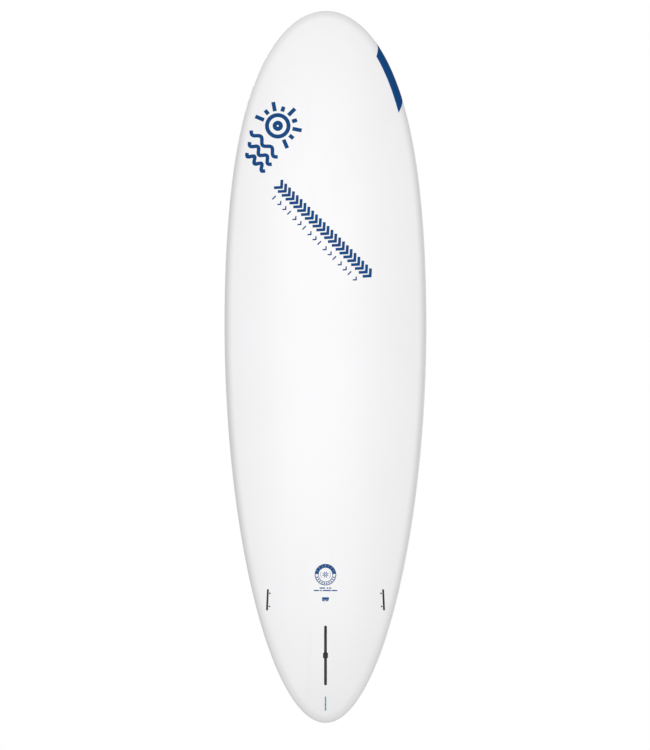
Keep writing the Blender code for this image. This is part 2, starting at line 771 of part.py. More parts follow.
def build_leash_plug(deck_skin, cores):
    """The cup with a steel pin across it, which a leash cord is tied to."""
    seat = seat_at("leash_seat", 0, LEASH_Y, True)
    rim = GAP + 0.0014
    cup = turned(
        "leash_cup",
        [
            (0, rim), (LEASH_RADIUS, rim), (LEASH_RADIUS, GAP), (LEASH_RADIUS - 0.0022, GAP),
            (LEASH_RADIUS - 0.0022, -LEASH_DEPTH), (0, -LEASH_DEPTH),
        ],
        "plastic", seat,
    )
    bowl = [(0, CLEAR), (LEASH_BOWL_RADIUS, CLEAR), (LEASH_BOWL_RADIUS, -0.008), (0.0125, -0.0145), (0.007, -0.018), (0, -0.018)]
    cut_from(turned("leash_bowl", bowl, seat=seat), cup)
    room_radius = LEASH_RADIUS - 0.0022 + GAP
    cut_from(
        turned(
            "leash_room", [(0, CLEAR), (room_radius, CLEAR), (room_radius, -LEASH_DEPTH - GAP), (0, -LEASH_DEPTH - GAP)],
            seat=seat,
        ),
        deck_skin, *cores,
    )
    half = LEASH_RADIUS - 0.0026
    across = bpy.data.objects.new("leash_pin_seat", None)
    BOARD.objects.link(across)
    across.parent = seat
    across.location = (0, 0, -LEASH_PIN_DEPTH)
    across.rotation_euler = (0, math.pi / 2, 0)
    cylinder("leash_pin", LEASH_PIN_RADIUS, -half, half, 12, "steel", across)
    cut_from(cylinder("leash_pin_room", LEASH_PIN_RADIUS + 0.0004, -half - 0.0004, half + 0.0004, 12, seat=across), cup)


def build_fin_box(bottom_skin, cores):
    """The long centre box, open at the bottom, with the square nut and screw that hold a fin."""
    seat = seat_at("fin_box_seat", 0, FIN_Y, False)
    lip = slot_outline(FIN_SLOT, FIN_NOTCH, grow=FIN_LIP)
    flange, trunk = slot_outline(FIN_FLANGE), slot_outline(FIN_TRUNK)
    fin_box = stacked(
        "fin_box",
        [
            ring_of(lip, 0), ring_of(lip, INSIDE - GAP), ring_of(flange, INSIDE - GAP), ring_of(flange, FIN_FLANGE_FLOOR),
            ring_of(trunk, FIN_FLANGE_FLOOR), ring_of(trunk, -FIN_DEPTH),
        ],
        "plastic", seat,
    )
    mouth, slot = slot_outline(FIN_SLOT, FIN_NOTCH), slot_outline(FIN_SLOT)
    groove = slot_outline((FIN_SLOT[0], FIN_GROOVE), FIN_NOTCH, grow=GAP)
    cut_from(
        stacked(
            "fin_slot",
            [
                ring_of(mouth, CLEAR), ring_of(mouth, FIN_GROOVE_TOP), ring_of(groove, FIN_GROOVE_TOP),
                ring_of(groove, FIN_GROOVE_FLOOR), ring_of(slot, FIN_GROOVE_FLOOR), ring_of(slot, FIN_SLOT_FLOOR),
            ],
            seat=seat,
        ),
        fin_box,
    )
    block = dense_block("fin_box_block", FIN_BLOCK, 0.010, seat, cores)
    wide, narrow = slot_outline(FIN_FLANGE, grow=GAP), slot_outline(FIN_TRUNK, grow=GAP)
    cut_from(
        stacked(
            "fin_trunk_room",
            [
                ring_of(wide, CLEAR), ring_of(wide, FIN_FLANGE_FLOOR - GAP), ring_of(narrow, FIN_FLANGE_FLOOR - GAP),
                ring_of(narrow, -FIN_DEPTH - GAP),
            ],
            seat=seat,
        ),
        block,
    )
    opening = slot_outline(FIN_SLOT, FIN_NOTCH, grow=FIN_LIP + GAP)
    cut_from(stacked("fin_skin_room", [ring_of(opening, CLEAR), ring_of(opening, -CLEAR)], seat=seat), bottom_skin)
    build_fin_fastener(seat)


def build_fin_fastener(seat):
    """The square nut at the notch, lying on the groove's floor, with the fin screw threaded through it."""
    low = FIN_GROOVE_FLOOR + GAP
    plate = box("fin_plate", (-PLATE[0] / 2, -PLATE[1] / 2, low), (PLATE[0] / 2, PLATE[1] / 2, low + PLATE[2]), "steel", seat)
    soften = plate.modifiers.new("corners", "BEVEL")
    soften.width = 0.0006
    soften.segments = 1
    cut_from(cylinder("fin_plate_thread", FIN_SCREW_RADIUS + 0.0003, low - CLEAR, low + CLEAR, 12, seat=seat), plate)
    top, under = FIN_SCREW_HEAD_TOP, FIN_SCREW_HEAD_TOP - 0.0026
    screw = turned(
        "fin_screw",
        [
            (0, top), (FIN_SCREW_HEAD_RADIUS - 0.0012, top), (FIN_SCREW_HEAD_RADIUS, top - 0.0010),
            (FIN_SCREW_HEAD_RADIUS, under), (FIN_SCREW_RADIUS, under), (FIN_SCREW_RADIUS, under - FIN_SCREW_LENGTH + 0.001),
            (0, under - FIN_SCREW_LENGTH),
        ],
        "steel", seat, 12,
    )
    cut_from(box("fin_screw_drive", (-0.0028, -0.0005, top - 0.0012), (0.0028, 0.0005, CLEAR), seat=seat), screw)


def build_side_fin_box(side, word, bottom_skin, core):
    """One short box near a rail, toed in towards the nose, with two leaning grub screws on its inboard side."""
    seat = seat_at(f"side_fin_seat_{word}", side * SIDE_FIN_X, SIDE_FIN_Y, False, side * SIDE_FIN_TOE)
    lip = slot_outline(SIDE_SLOT, grow=SIDE_LIP)
    flange, trunk = slot_outline(SIDE_FLANGE), slot_outline(SIDE_TRUNK)
    inboard = side * SIDE_INBOARD
    under = INSIDE - GAP
    fin_box = stacked(
        f"side_fin_box_{word}",
        [
            ring_of(lip, 0), ring_of(lip, under), ring_of(flange, under, inboard),
            ring_of(flange, SIDE_FLANGE_FLOOR, inboard), ring_of(trunk, SIDE_FLANGE_FLOOR, inboard),
            ring_of(trunk, -SIDE_DEPTH, inboard),
        ],
        "plastic", seat,
    )
    slot = slot_outline(SIDE_SLOT)
    cut_from(stacked(f"side_slot_{word}", [ring_of(slot, CLEAR), ring_of(slot, SIDE_SLOT_FLOOR)], seat=seat), fin_box)
    block = dense_block(f"side_fin_block_{word}", SIDE_BLOCK, 0.010, seat, [core], 2 * inboard)
    wide, narrow = slot_outline(SIDE_FLANGE, grow=GAP), slot_outline(SIDE_TRUNK, grow=GAP)
    cut_from(
        stacked(
            f"side_trunk_room_{word}",
            [
                ring_of(wide, CLEAR, inboard), ring_of(wide, SIDE_FLANGE_FLOOR - GAP, inboard),
                ring_of(narrow, SIDE_FLANGE_FLOOR - GAP, inboard), ring_of(narrow, -SIDE_DEPTH - GAP, inboard),
            ],
            seat=seat,
        ),
        block,
    )
    opening = slot_outline(SIDE_SLOT, grow=SIDE_LIP + GAP)
    cut_from(
        stacked(f"side_skin_room_{word}", [ring_of(opening, CLEAR), ring_of(opening, -CLEAR)], seat=seat), bottom_skin
    )
    for end, place in ((-1, "front"), (1, "rear")):
        build_grub_screw(f"{word}_{place}", side, end, seat, fin_box, bottom_skin)


def build_grub_screw(word, side, end, seat, fin_box, bottom_skin):
    """A socket grub screw whose bore leans towards the slot and breaks into it."""
    pivot = bpy.data.objects.new(f"grub_seat_{word}", None)
    BOARD.objects.link(pivot)
    pivot.parent = seat
    pivot.location = (side * GRUB_OFFSET, end * GRUB_SPREAD / 2, 0)
    pivot.rotation_euler = (0, side * GRUB_LEAN, 0)
    top, tip = -GRUB_DEPTH, -GRUB_DEPTH - GRUB_LENGTH
    bevel = 0.0006
    grub = turned(
        f"grub_screw_{word}",
        [
            (0, top), (GRUB_RADIUS - bevel, top), (GRUB_RADIUS, top - bevel), (GRUB_RADIUS, tip + bevel),
            (GRUB_RADIUS - bevel, tip), (0, tip),
        ],
        "steel", pivot, 12,
    )
    cut_from(cylinder(f"grub_socket_{word}", GRUB_HEX, top - 0.003, CLEAR, 6, seat=pivot), grub)
    cut_from(cylinder(f"grub_bore_{word}", GRUB_BORE_RADIUS, tip - 0.0050, CLEAR, 12, seat=pivot), fin_box)
    cut_from(cylinder(f"grub_mouth_{word}", GRUB_MOUTH_RADIUS, -0.006, CLEAR, 12, seat=pivot), bottom_skin)


def build_board():
    """Builds every piece of the board."""
    bottom_skin, deck_skin = build_skins()
    left, right, stringer = build_core()
    cores = (left, right, stringer)
    pads = build_pads()
    build_mast_track(deck_skin, cores)
    build_handle(deck_skin, cores, pads)
    build_vent(deck_skin, (left,))
    build_leash_plug(deck_skin, cores)
    build_fin_box(bottom_skin, cores)
    build_side_fin_box(1, "left", bottom_skin, left)
    build_side_fin_box(-1, "right", bottom_skin, right)


build_board()
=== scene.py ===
"""Looks for a ten-foot light-wind windsurf board, seen from below.

The board lies on its bottom: +Z is up, the nose points along -Y and the left rail is at +X.
"""

import logging
import math
from dataclasses import dataclass, field
from enum import Enum
from functools import partial
from typing import Callable, Optional, Sequence

import bmesh
import bpy
from mathutils import Matrix, Vector
from mathutils.bvhtree import BVHTree


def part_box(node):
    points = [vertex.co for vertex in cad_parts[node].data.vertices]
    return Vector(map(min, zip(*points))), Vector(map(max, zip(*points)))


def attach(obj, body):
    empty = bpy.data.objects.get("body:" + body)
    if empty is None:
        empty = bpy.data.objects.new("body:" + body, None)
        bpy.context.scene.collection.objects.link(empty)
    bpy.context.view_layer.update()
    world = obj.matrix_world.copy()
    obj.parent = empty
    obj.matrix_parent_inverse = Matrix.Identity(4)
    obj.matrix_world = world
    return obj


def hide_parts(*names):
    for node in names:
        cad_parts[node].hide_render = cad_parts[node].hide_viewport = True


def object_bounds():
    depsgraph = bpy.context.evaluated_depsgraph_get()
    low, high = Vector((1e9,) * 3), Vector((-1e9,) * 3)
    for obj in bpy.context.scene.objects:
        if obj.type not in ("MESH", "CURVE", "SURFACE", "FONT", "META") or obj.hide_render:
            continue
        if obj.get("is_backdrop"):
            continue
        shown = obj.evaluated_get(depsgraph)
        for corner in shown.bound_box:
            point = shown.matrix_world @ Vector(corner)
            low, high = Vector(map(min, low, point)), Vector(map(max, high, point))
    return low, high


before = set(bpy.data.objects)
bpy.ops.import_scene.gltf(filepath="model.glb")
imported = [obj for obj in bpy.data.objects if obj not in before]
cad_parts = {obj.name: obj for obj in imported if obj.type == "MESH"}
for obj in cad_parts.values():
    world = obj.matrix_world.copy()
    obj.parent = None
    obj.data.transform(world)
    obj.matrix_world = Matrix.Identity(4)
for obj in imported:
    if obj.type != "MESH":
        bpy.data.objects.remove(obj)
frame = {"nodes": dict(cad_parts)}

LOG = logging.getLogger("windsurf_board")
GAP = 0.0003
Node = bpy.types.Node
Socket = bpy.types.NodeSocket
Piece = bpy.types.Object
Shape = bmesh.types.BMesh
Pair = tuple[float, float]
Place = tuple[float, float, float]
Colour = tuple[float, float, float, float]
Outline = list[Pair]
Ring = list[Place]


# ---------------------------------------------------------------- node helpers


class Wiring:
    """Short calls for building a node tree."""

    def __init__(self, tree: bpy.types.NodeTree) -> None:
        """Keeps the tree.

        Args:
            tree: the tree that the nodes go into.
        """
        self.tree = tree

    def node(self, kind: str, **inputs: object) -> Node:
        """Adds a node.

        Args:
            kind: the node's type without the ShaderNode prefix.
            inputs: input names, with _ for a space, and their values or the sockets that feed them.

        Returns:
            The new node.
        """
        made = self.tree.nodes.new(f"ShaderNode{kind}")
        for name, value in inputs.items():
            self.feed(made, name.replace("_", " "), value)
        return made

    def feed(self, node: Node, name: str | int, value: object) -> None:
        """Sets an input of a node, or links a socket into it.

        Args:
            node: the node.
            name: the input's name or index.
            value: a value or a socket.
        """
        socket = node.inputs[name]
        if isinstance(value, Socket):
            self.tree.links.new(value, socket)
        else:
            socket.default_value = value

    def math(self, operation: str, first: object, second: object = 0.0, clamp: bool = False) -> Socket:
        """Adds a Math node and returns its result.

        Args:
            operation: the operation's name.
            first: the first value or socket.
            second: the second value or socket.
            clamp: whether it stays within 0 to 1.

        Returns:
            The result's socket.
        """
        made = self.tree.nodes.new("ShaderNodeMath")
        made.operation = operation
        made.use_clamp = clamp
        for index, value in enumerate((first, second)):
            self.feed(made, index, value)
        return made.outputs[0]

    def blend(self, share: object, first: object, second: object) -> Socket:
        """Mixes two colours and returns the result.

        Args:
            share: the second colour's share.
            first: a colour or socket.
            second: a colour or socket.

        Returns:
            The colour's socket.
        """
        made = self.tree.nodes.new("ShaderNodeMix")
        made.data_type = "RGBA"
        for index, value in ((0, share), (6, first), (7, second)):
            self.feed(made, index, value)
        return made.outputs[2]

    def ramp(
        self, value: object, low: float, high: float, start: float = 0.0, end: float = 1.0
    ) -> Socket:
        """Maps a value from low..high onto start..end, clamped.

        Args:
            value: the socket.
            low: the value that gives start.
            high: the value that gives end.
            start: the lowest result.
            end: the highest result.

        Returns:
            The result's socket.
        """
        made = self.node("MapRange", Value=value, From_Min=low, From_Max=high, To_Min=start, To_Max=end)
        made.clamp = True
        return made.outputs[0]

    def noise(self, place: object, scale: float, detail: float = 2.0, roughness: float = 0.5) -> Socket:
        """Adds a noise texture and returns its value."""
        made = self.node("TexNoise", Vector=place, Scale=scale, Detail=detail, Roughness=roughness)
        return made.outputs["Fac"]

    def place(self, stretch: Place = (1.0, 1.0, 1.0)) -> Socket:
        """The board's own coordinates in metres, stretched along each axis.

        Args:
            stretch: the factor for each axis.

        Returns:
            The coordinates' socket.
        """
        where = self.node("TexCoord").outputs["Object"]
        if stretch == (1.0, 1.0, 1.0):
            return where
        return self.node("Mapping", Vector=where, Scale=stretch).outputs["Vector"]


class Effect:
    """A shader node group that several finishes share, built once."""

    name = "effect"
    inputs: Sequence[tuple[str, str, object]] = ()
    outputs: Sequence[tuple[str, str]] = ()

    def tree(self) -> bpy.types.NodeTree:
        """The group, made the first time it is asked for.

        Returns:
            The group.
        """
        found = bpy.data.node_groups.get(self.name)
        if found:
            return found
        group = bpy.data.node_groups.new(self.name, "ShaderNodeTree")
        for label, kind, value in self.inputs:
            socket = group.interface.new_socket(label, in_out="INPUT", socket_type=f"NodeSocket{kind}")
            if value is not None:
                socket.default_value = value
        for label, kind in self.outputs:
            group.interface.new_socket(label, in_out="OUTPUT", socket_type=f"NodeSocket{kind}")
        wiring = Wiring(group)
        entry = group.nodes.new("NodeGroupInput")
        leave = group.nodes.new("NodeGroupOutput")
        self.wire(wiring, entry, leave)
        return group

    def wire(self, wiring: Wiring, entry: Node, leave: Node) -> None:
        """Adds the effect's nodes between the group's input and output."""
        raise NotImplementedError

    def placed(self, wiring: Wiring, **values: object) -> Node:
        """Places the effect in a material.

        Args:
            wiring: the material's wiring.
            values: input names, with _ for a space, and their values.

        Returns:
            The group node.
        """
        made = wiring.tree.nodes.new("ShaderNodeGroup")
        made.node_tree = self.tree()
        for name, value in values.items():
            wiring.feed(made, name.replace("_", " "), value)
        return made


class Handling(Effect):
    """Light marks of use: broad soiling, and fine scratches that lie in all directions."""

    name = "handling_marks"
    inputs = (
        ("Soil Scale", "Float", 3.0),
        ("Scratch Scale", "Float", 40.0),
        ("Scratch Amount", "Float", 0.3),
    )
    outputs = (("Soil", "Float"), ("Scratches", "Float"))

    def wire(self, wiring: Wiring, entry: Node, leave: Node) -> None:
        """Adds the noise that soils and the stretched noise that scratches.

        Args:
            wiring: the tree's wiring.
            entry: the group's input node.
            leave: the group's output node.
        """
        where = wiring.place()
        soil = wiring.noise(where, entry.outputs["Soil Scale"], 6.0, 0.6)
        wiring.feed(leave, "Soil", wiring.ramp(soil, 0.42, 0.72))
        marks: Optional[Socket] = None
        for turn in (0.35, 1.45, 2.55):
            lay = wiring.node("Mapping", Vector=where, Rotation=(0.0, 0.0, turn), Scale=(1.0, 0.035, 1.0))
            line = wiring.noise(lay.outputs["Vector"], entry.outputs["Scratch Scale"], 1.0, 0.4)
            line = wiring.ramp(line, 0.70, 0.74)
            marks = line if marks is None else wiring.math("MAXIMUM", marks, line)
        wiring.feed(leave, "Scratches", wiring.math("MULTIPLY", marks, entry.outputs["Scratch Amount"]))


class EdgeWear(Effect):
    """A mask of outer edges, broken up by noise, where a surface is rubbed."""

    name = "edge_wear"
    inputs = (("Amount", "Float", 0.5), ("Break Up", "Float", 150.0))
    outputs = (("Wear", "Float"),)

    def wire(self, wiring: Wiring, entry: Node, leave: Node) -> None:
        """Turns the surface's pointiness into a broken mask.

        Args:
            wiring: the tree's wiring.
            entry: the group's input node.
            leave: the group's output node.
        """
        point = wiring.node("NewGeometry").outputs["Pointiness"]
        edge = wiring.ramp(point, 0.52, 0.60)
        broken = wiring.ramp(wiring.noise(wiring.place(), entry.outputs["Break Up"], 4.0), 0.35, 0.65)
        mask = wiring.math("MULTIPLY", wiring.math("MULTIPLY", edge, broken), entry.outputs["Amount"], True)
        wiring.feed(leave, "Wear", mask)


class MouldGrain(Effect):
    """The fine spark-eroded grain of a moulding."""

    name = "mould_grain"
    inputs = (("Scale", "Float", 1500.0),)
    outputs = (("Height", "Float"), ("Patch", "Float"))

    def wire(self, wiring: Wiring, entry: Node, leave: Node) -> None:
        """Adds fine noise for the grain and broad noise for its patches.

        Args:
            wiring: the tree's wiring.
            entry: the group's input node.
            leave: the group's output node.
        """
        where = wiring.place()
        wiring.feed(leave, "Height", wiring.noise(where, entry.outputs["Scale"], 3.0, 0.6))
        coarse = wiring.math("MULTIPLY", entry.outputs["Scale"], 0.012)
        wiring.feed(leave, "Patch", wiring.noise(where, coarse, 4.0, 0.55))


class FoamCells(Effect):
    """Closed cells of foam, as bumps with dark joints."""

    name = "foam_cells"
    inputs = (("Cell Size", "Float", 0.003),)
    outputs = (("Height", "Float"), ("Joint", "Float"), ("Tint", "Float"))

    def wire(self, wiring: Wiring, entry: Node, leave: Node) -> None:
        """Adds the cells, their joints and a tint for each.

        Args:
            wiring: the tree's wiring.
            entry: the group's input node.
            leave: the group's output node.
        """
        where = wiring.place()
        count = wiring.math("DIVIDE", 1.0, entry.outputs["Cell Size"])
        cells = wiring.node("TexVoronoi", Vector=where, Scale=count)
        edges = wiring.node("TexVoronoi", Vector=where, Scale=count)
        edges.feature = "DISTANCE_TO_EDGE"
        wiring.feed(leave, "Height", wiring.ramp(edges.outputs["Distance"], 0.0, 0.35))
        wiring.feed(leave, "Joint", wiring.ramp(edges.outputs["Distance"], 0.0, 0.08, 1.0, 0.0))
        split = wiring.node("SeparateColor", Color=cells.outputs["Color"])
        wiring.feed(leave, "Tint", split.outputs[0])


# ---------------------------------------------------------------- finishes


@dataclass(frozen=True)
class Finish:
    """What every finish has: a name, a colour and a roughness."""

    name: str
    colour: Colour
    roughness: float = 0.5

    def material(self) -> bpy.types.Material:
        """The material, made the first time it is asked for.

        Returns:
            The material.
        """
        found = bpy.data.materials.get(self.name)
        if found:
            return found
        made = bpy.data.materials.new(self.name)
        made.use_nodes = True
        made.diffuse_color = self.colour
        surface = made.node_tree.nodes["Principled BSDF"]
        wiring = Wiring(made.node_tree)
        wiring.feed(surface, "Base Color", self.colour)
        wiring.feed(surface, "Roughness", self.roughness)
        self.dress(wiring, surface)
        return made

    def dress(self, wiring: Wiring, surface: Node) -> None:
        """Adds the finish's own nodes."""
        raise NotImplementedError

    def shaded(self, share: float) -> Colour:
        """The colour, darkened or lightened by a factor."""
        return (*(min(1.0, channel * share) for channel in self.colour[:3]), 1.0)

    def roughen(
        self, wiring: Wiring, surface: Node, value: object, low: float, high: float, rise: float
    ) -> None:
        """Raises the roughness as a value goes from low to high."""
        rough = wiring.ramp(value, low, high, self.roughness, self.roughness + rise)
        wiring.feed(surface, "Roughness", rough)

    def bump(
        self, wiring: Wiring, surface: Node, height: object, depth: float, strength: float
    ) -> None:
        """Feeds a height into the surface's normal."""
        bump = wiring.node("Bump", Height=height, Distance=depth, Strength=strength)
        wiring.feed(surface, "Normal", bump.outputs["Normal"])


@dataclass(frozen=True)
class GlossLaminate(Finish):
    """White sprayed paint on glass cloth, polished, with a faint ripple and light scratches."""

    soil: Colour = (0.80, 0.79, 0.76, 1.0)
    ripple: float = 0.00010

    def dress(self, wiring: Wiring, surface: Node) -> None:
        """Adds the ripple, the handling marks and the clear coat.

        Args:
            wiring: the tree's wiring.
            surface: the material's Principled node.
        """
        marks = Handling().placed(wiring, Soil_Scale=2.2, Scratch_Scale=26.0, Scratch_Amount=0.6)
        share = wiring.math("MULTIPLY", marks.outputs["Soil"], 0.10)
        wiring.feed(surface, "Base Color", wiring.blend(share, self.colour, self.soil))
        self.roughen(wiring, surface, marks.outputs["Scratches"], 0.0, 1.0, 0.22)
        wiring.feed(surface, "Coat Weight", 0.30)
        wiring.feed(surface, "Coat Roughness", 0.16)
        wiring.feed(surface, "Specular IOR Level", 0.35)
        wave = wiring.noise(wiring.place(), 55.0, 2.0, 0.4)
        height = wiring.math("SUBTRACT", wave, wiring.math("MULTIPLY", marks.outputs["Scratches"], 0.25))
        self.bump(wiring, surface, height, self.ripple, 0.5)


@dataclass(frozen=True)
class PrintedInk(Finish):
    """Screen-printed ink under a thin clear coat."""

    def dress(self, wiring: Wiring, surface: Node) -> None:
        """Adds the slightly uneven lay of the ink.

        Args:
            wiring: the tree's wiring.
            surface: the material's Principled node.
        """
        lay = wiring.noise(wiring.place(), 220.0, 5.0, 0.6)
        share = wiring.ramp(lay, 0.3, 0.7, 0.0, 0.18)
        wiring.feed(surface, "Base Color", wiring.blend(share, self.colour, self.shaded(1.25)))
        self.roughen(wiring, surface, lay, 0.3, 0.7, 0.12)
        wiring.feed(surface, "Specular IOR Level", 0.12)
        self.bump(wiring, surface, lay, 0.00004, 0.4)


@dataclass(frozen=True)
class MouldedPlastic(Finish):
    """Glass-filled plastic, moulded with a fine grain and rubbed along its edges."""

    grain: float = 1500.0
    rub: float = 0.35

    def dress(self, wiring: Wiring, surface: Node) -> None:
        """Adds the grain, its patches and the rubbed edges.

        Args:
            wiring: the tree's wiring.
            surface: the material's Principled node.
        """
        grain = MouldGrain().placed(wiring, Scale=self.grain)
        wear = EdgeWear().placed(wiring, Amount=self.rub, Break_Up=260.0)
        tone = wiring.ramp(grain.outputs["Patch"], 0.3, 0.7)
        base = wiring.blend(tone, self.colour, self.shaded(1.5))
        pale = (*(0.5 * channel + 0.12 for channel in self.colour[:3]), 1.0)
        wiring.feed(surface, "Base Color", wiring.blend(wear.outputs["Wear"], base, pale))
        self.roughen(wiring, surface, grain.outputs["Patch"], 0.3, 0.7, 0.12)
        self.bump(wiring, surface, grain.outputs["Height"], 0.00006, 0.6)


@dataclass(frozen=True)
class TurnedSteel(Finish):
    """Stainless or blackened steel with fine machining lines."""

    lines: Place = (60.0, 60.0, 3200.0)
    metal: float = 1.0

    def dress(self, wiring: Wiring, surface: Node) -> None:
        """Adds the machining lines and dulled patches.

        Args:
            wiring: the tree's wiring.
            surface: the material's Principled node.
        """
        wiring.feed(surface, "Metallic", self.metal)
        lines = wiring.noise(wiring.place(self.lines), 1.0, 2.0, 0.5)
        dull = wiring.noise(wiring.place(), 180.0, 4.0, 0.6)
        tone = wiring.blend(wiring.ramp(dull, 0.4, 0.7), self.colour, self.shaded(0.72))
        wiring.feed(surface, "Base Color", tone)
        self.roughen(wiring, surface, lines, 0.3, 0.7, 0.18)
        self.bump(wiring, surface, lines, 0.00003, 0.5)


@dataclass(frozen=True)
class GripFoam(Finish):
    """Closed-cell grip foam with a diamond print pressed into it, and painted shade in the pressed lines."""

    pitch: float = 0.006
    print_depth: float = 0.00045

    def dress(self, wiring: Wiring, surface: Node) -> None:
        """Adds the diamond print, with painted shade darkening its pressed lines, the foam's cells and the
        tint of each patch.

        Args:
            wiring: the tree's wiring.
            surface: the material's Principled node.
        """
        where = wiring.node("SeparateXYZ", Vector=wiring.place())
        waves = []
        for sign in ("ADD", "SUBTRACT"):
            along = wiring.math(sign, where.outputs["X"], where.outputs["Y"])
            turn = wiring.math("MULTIPLY", along, 2 * math.pi / (self.pitch * math.sqrt(2)))
            waves.append(wiring.math("ABSOLUTE", wiring.math("SINE", turn)))
        diamonds = wiring.math("MINIMUM", waves[0], waves[1])
        # Mask of the pressed lines: it gives the bump's height and the painted shade in the lines.
        press_and_shade = wiring.ramp(diamonds, 0.0, 0.45)
        cells = FoamCells().placed(wiring, Cell_Size=0.0009)
        patch = wiring.noise(wiring.place(), 9.0, 5.0, 0.6)
        tone = wiring.blend(wiring.ramp(patch, 0.35, 0.7), self.colour, self.shaded(1.22))
        tone = wiring.blend(wiring.math("MULTIPLY", cells.outputs["Tint"], 0.25), tone, self.shaded(0.75))
        # The pressed lines are painted darker: painted shade in their recesses, on top of the bump below.
        wiring.feed(surface, "Base Color", wiring.blend(press_and_shade, self.shaded(0.62), tone))
        self.roughen(wiring, surface, patch, 0.3, 0.7, 0.1)
        wiring.feed(surface, "Sheen Weight", 0.25)
        wiring.feed(surface, "Specular IOR Level", 0.3)
        height = wiring.math("ADD", press_and_shade, wiring.math("MULTIPLY", cells.outputs["Height"], 0.12))
        self.bump(wiring, surface, height, self.print_depth, 0.8)


@dataclass(frozen=True)
class SoftRubber(Finish):
    """Moulded rubber with a dusty bloom."""

    def dress(self, wiring: Wiring, surface: Node) -> None:
        """Adds the bloom and a fine grain.

        Args:
            wiring: the tree's wiring.
            surface: the material's Principled node.
        """
        grain = MouldGrain().placed(wiring, Scale=1100.0)
        bloom = wiring.ramp(grain.outputs["Patch"], 0.45, 0.75, 0.0, 0.5)
        pale = (*(channel + 0.05 for channel in self.colour[:3]), 1.0)
        wiring.feed(surface, "Base Color", wiring.blend(bloom, self.colour, pale))
        self.roughen(wiring, surface, bloom, 0.0, 0.5, 0.15)
        self.bump(wiring, surface, grain.outputs["Height"], 0.00008, 0.5)


@dataclass(frozen=True)
class BeadFoam(Finish):
    """Expanded foam, cut, with its beads or cells showing."""

    cell: float = 0.004

    def dress(self, wiring: Wiring, surface: Node) -> None:
        """Adds the beads and the dust in their joints.

        Args:
            wiring: the tree's wiring.
            surface: the material's Principled node.
        """
        cells = FoamCells().placed(wiring, Cell_Size=self.cell)
        tone = wiring.blend(cells.outputs["Tint"], self.colour, self.shaded(0.93))
        wiring.feed(surface, "Base Color", wiring.blend(cells.outputs["Joint"], tone, self.shaded(0.7)))
        wiring.feed(surface, "Roughness", wiring.ramp(cells.outputs["Tint"], 0.0, 1.0, self.roughness, 1.0))
        self.bump(wiring, surface, cells.outputs["Height"], self.cell * 0.12, 0.7)


@dataclass(frozen=True)
class PlankWood(Finish):
    """Straight-grained wood, along the board."""

    late: Colour = (0.38, 0.25, 0.13, 1.0)

    def dress(self, wiring: Wiring, surface: Node) -> None:
        """Adds the growth rings and pores.

        Args:
            wiring: the tree's wiring.
            surface: the material's Principled node.
        """
        rings = wiring.noise(wiring.place((1.0, 0.03, 1.0)), 240.0, 5.0, 0.6)
        pores = wiring.noise(wiring.place((1.0, 0.02, 1.0)), 1300.0, 2.0, 0.5)
        grain = wiring.blend(wiring.ramp(rings, 0.42, 0.62), self.colour, self.late)
        tone = wiring.blend(wiring.ramp(pores, 0.62, 0.7, 0.0, 0.6), grain, self.late)
        wiring.feed(surface, "Base Color", tone)
        self.roughen(wiring, surface, rings, 0.3, 0.7, 0.15)
        self.bump(wiring, surface, pores, 0.00015, 0.5)


class Coat(Enum):
    """The finishes of this board."""

    BOTTOM = GlossLaminate("bottom_laminate", (0.925, 0.925, 0.935, 1.0), 0.30)
    DECK = GlossLaminate("deck_laminate", (0.90, 0.90, 0.905, 1.0), 0.34, ripple=0.00018)
    NAVY_INK = PrintedInk("navy_ink", (0.0008, 0.060, 0.215, 1.0), 0.42)
    BADGE_INK = PrintedInk("badge_ink", (0.010, 0.085, 0.27, 1.0), 0.42)
    TEAL_INK = PrintedInk("teal_ink", (0.075, 0.290, 0.330, 1.0), 0.42)
    SCALE_INK = PrintedInk("scale_ink", (0.70, 0.72, 0.74, 1.0), 0.45)
    BOX = MouldedPlastic("fin_box_plastic", (0.085, 0.085, 0.087, 1.0), 0.55, rub=0.10)
    TRACK = MouldedPlastic("track_plastic", (0.020, 0.020, 0.022, 1.0), 0.46)
    CUP = MouldedPlastic("handle_cup_plastic", (0.026, 0.026, 0.028, 1.0), 0.55, grain=900.0)
    FITTING = MouldedPlastic("fitting_plastic", (0.024, 0.025, 0.027, 1.0), 0.45)
    PLUG = MouldedPlastic("vent_plug_plastic", (0.012, 0.075, 0.20, 1.0), 0.34)
    GRIP = SoftRubber("handle_rubber", (0.030, 0.031, 0.034, 1.0), 0.68)
    SEAL = SoftRubber("seal_rubber", (0.014, 0.014, 0.015, 1.0), 0.42)
    PAD = GripFoam("pad_grey_foam", (0.115, 0.150, 0.185, 1.0), 0.80)
    KICK = GripFoam("pad_navy_foam", (0.006, 0.040, 0.105, 1.0), 0.80)
    STEEL = TurnedSteel("screw_steel", (0.58, 0.58, 0.59, 1.0), 0.26)
    PIN = TurnedSteel("pin_steel", (0.64, 0.65, 0.66, 1.0), 0.18, lines=(60.0, 3200.0, 60.0))
    PLATE = TurnedSteel("plate_steel", (0.56, 0.56, 0.55, 1.0), 0.34, lines=(2200.0, 40.0, 40.0))
    BLACK_STEEL = TurnedSteel(
        "black_steel", (0.060, 0.060, 0.064, 1.0), 0.42, lines=(2200.0, 40.0, 40.0), metal=0.75
    )
    GRUB_STEEL = TurnedSteel("grub_steel", (0.16, 0.16, 0.17, 1.0), 0.38)
    CORE = BeadFoam("core_beads", (0.91, 0.91, 0.90, 1.0), 0.85)
    BLOCK = BeadFoam("dense_foam", (0.74, 0.60, 0.30, 1.0), 0.80, cell=0.0012)
    BREATHER = BeadFoam("breather_felt", (0.82, 0.82, 0.80, 1.0), 0.90, cell=0.0007)
    WOOD = PlankWood("stringer_wood", (0.60, 0.44, 0.26, 1.0), 0.55)

    def material(self) -> bpy.types.Material:
        """This finish's material."""
        return self.value.material()


# ---------------------------------------------------------------- meshes


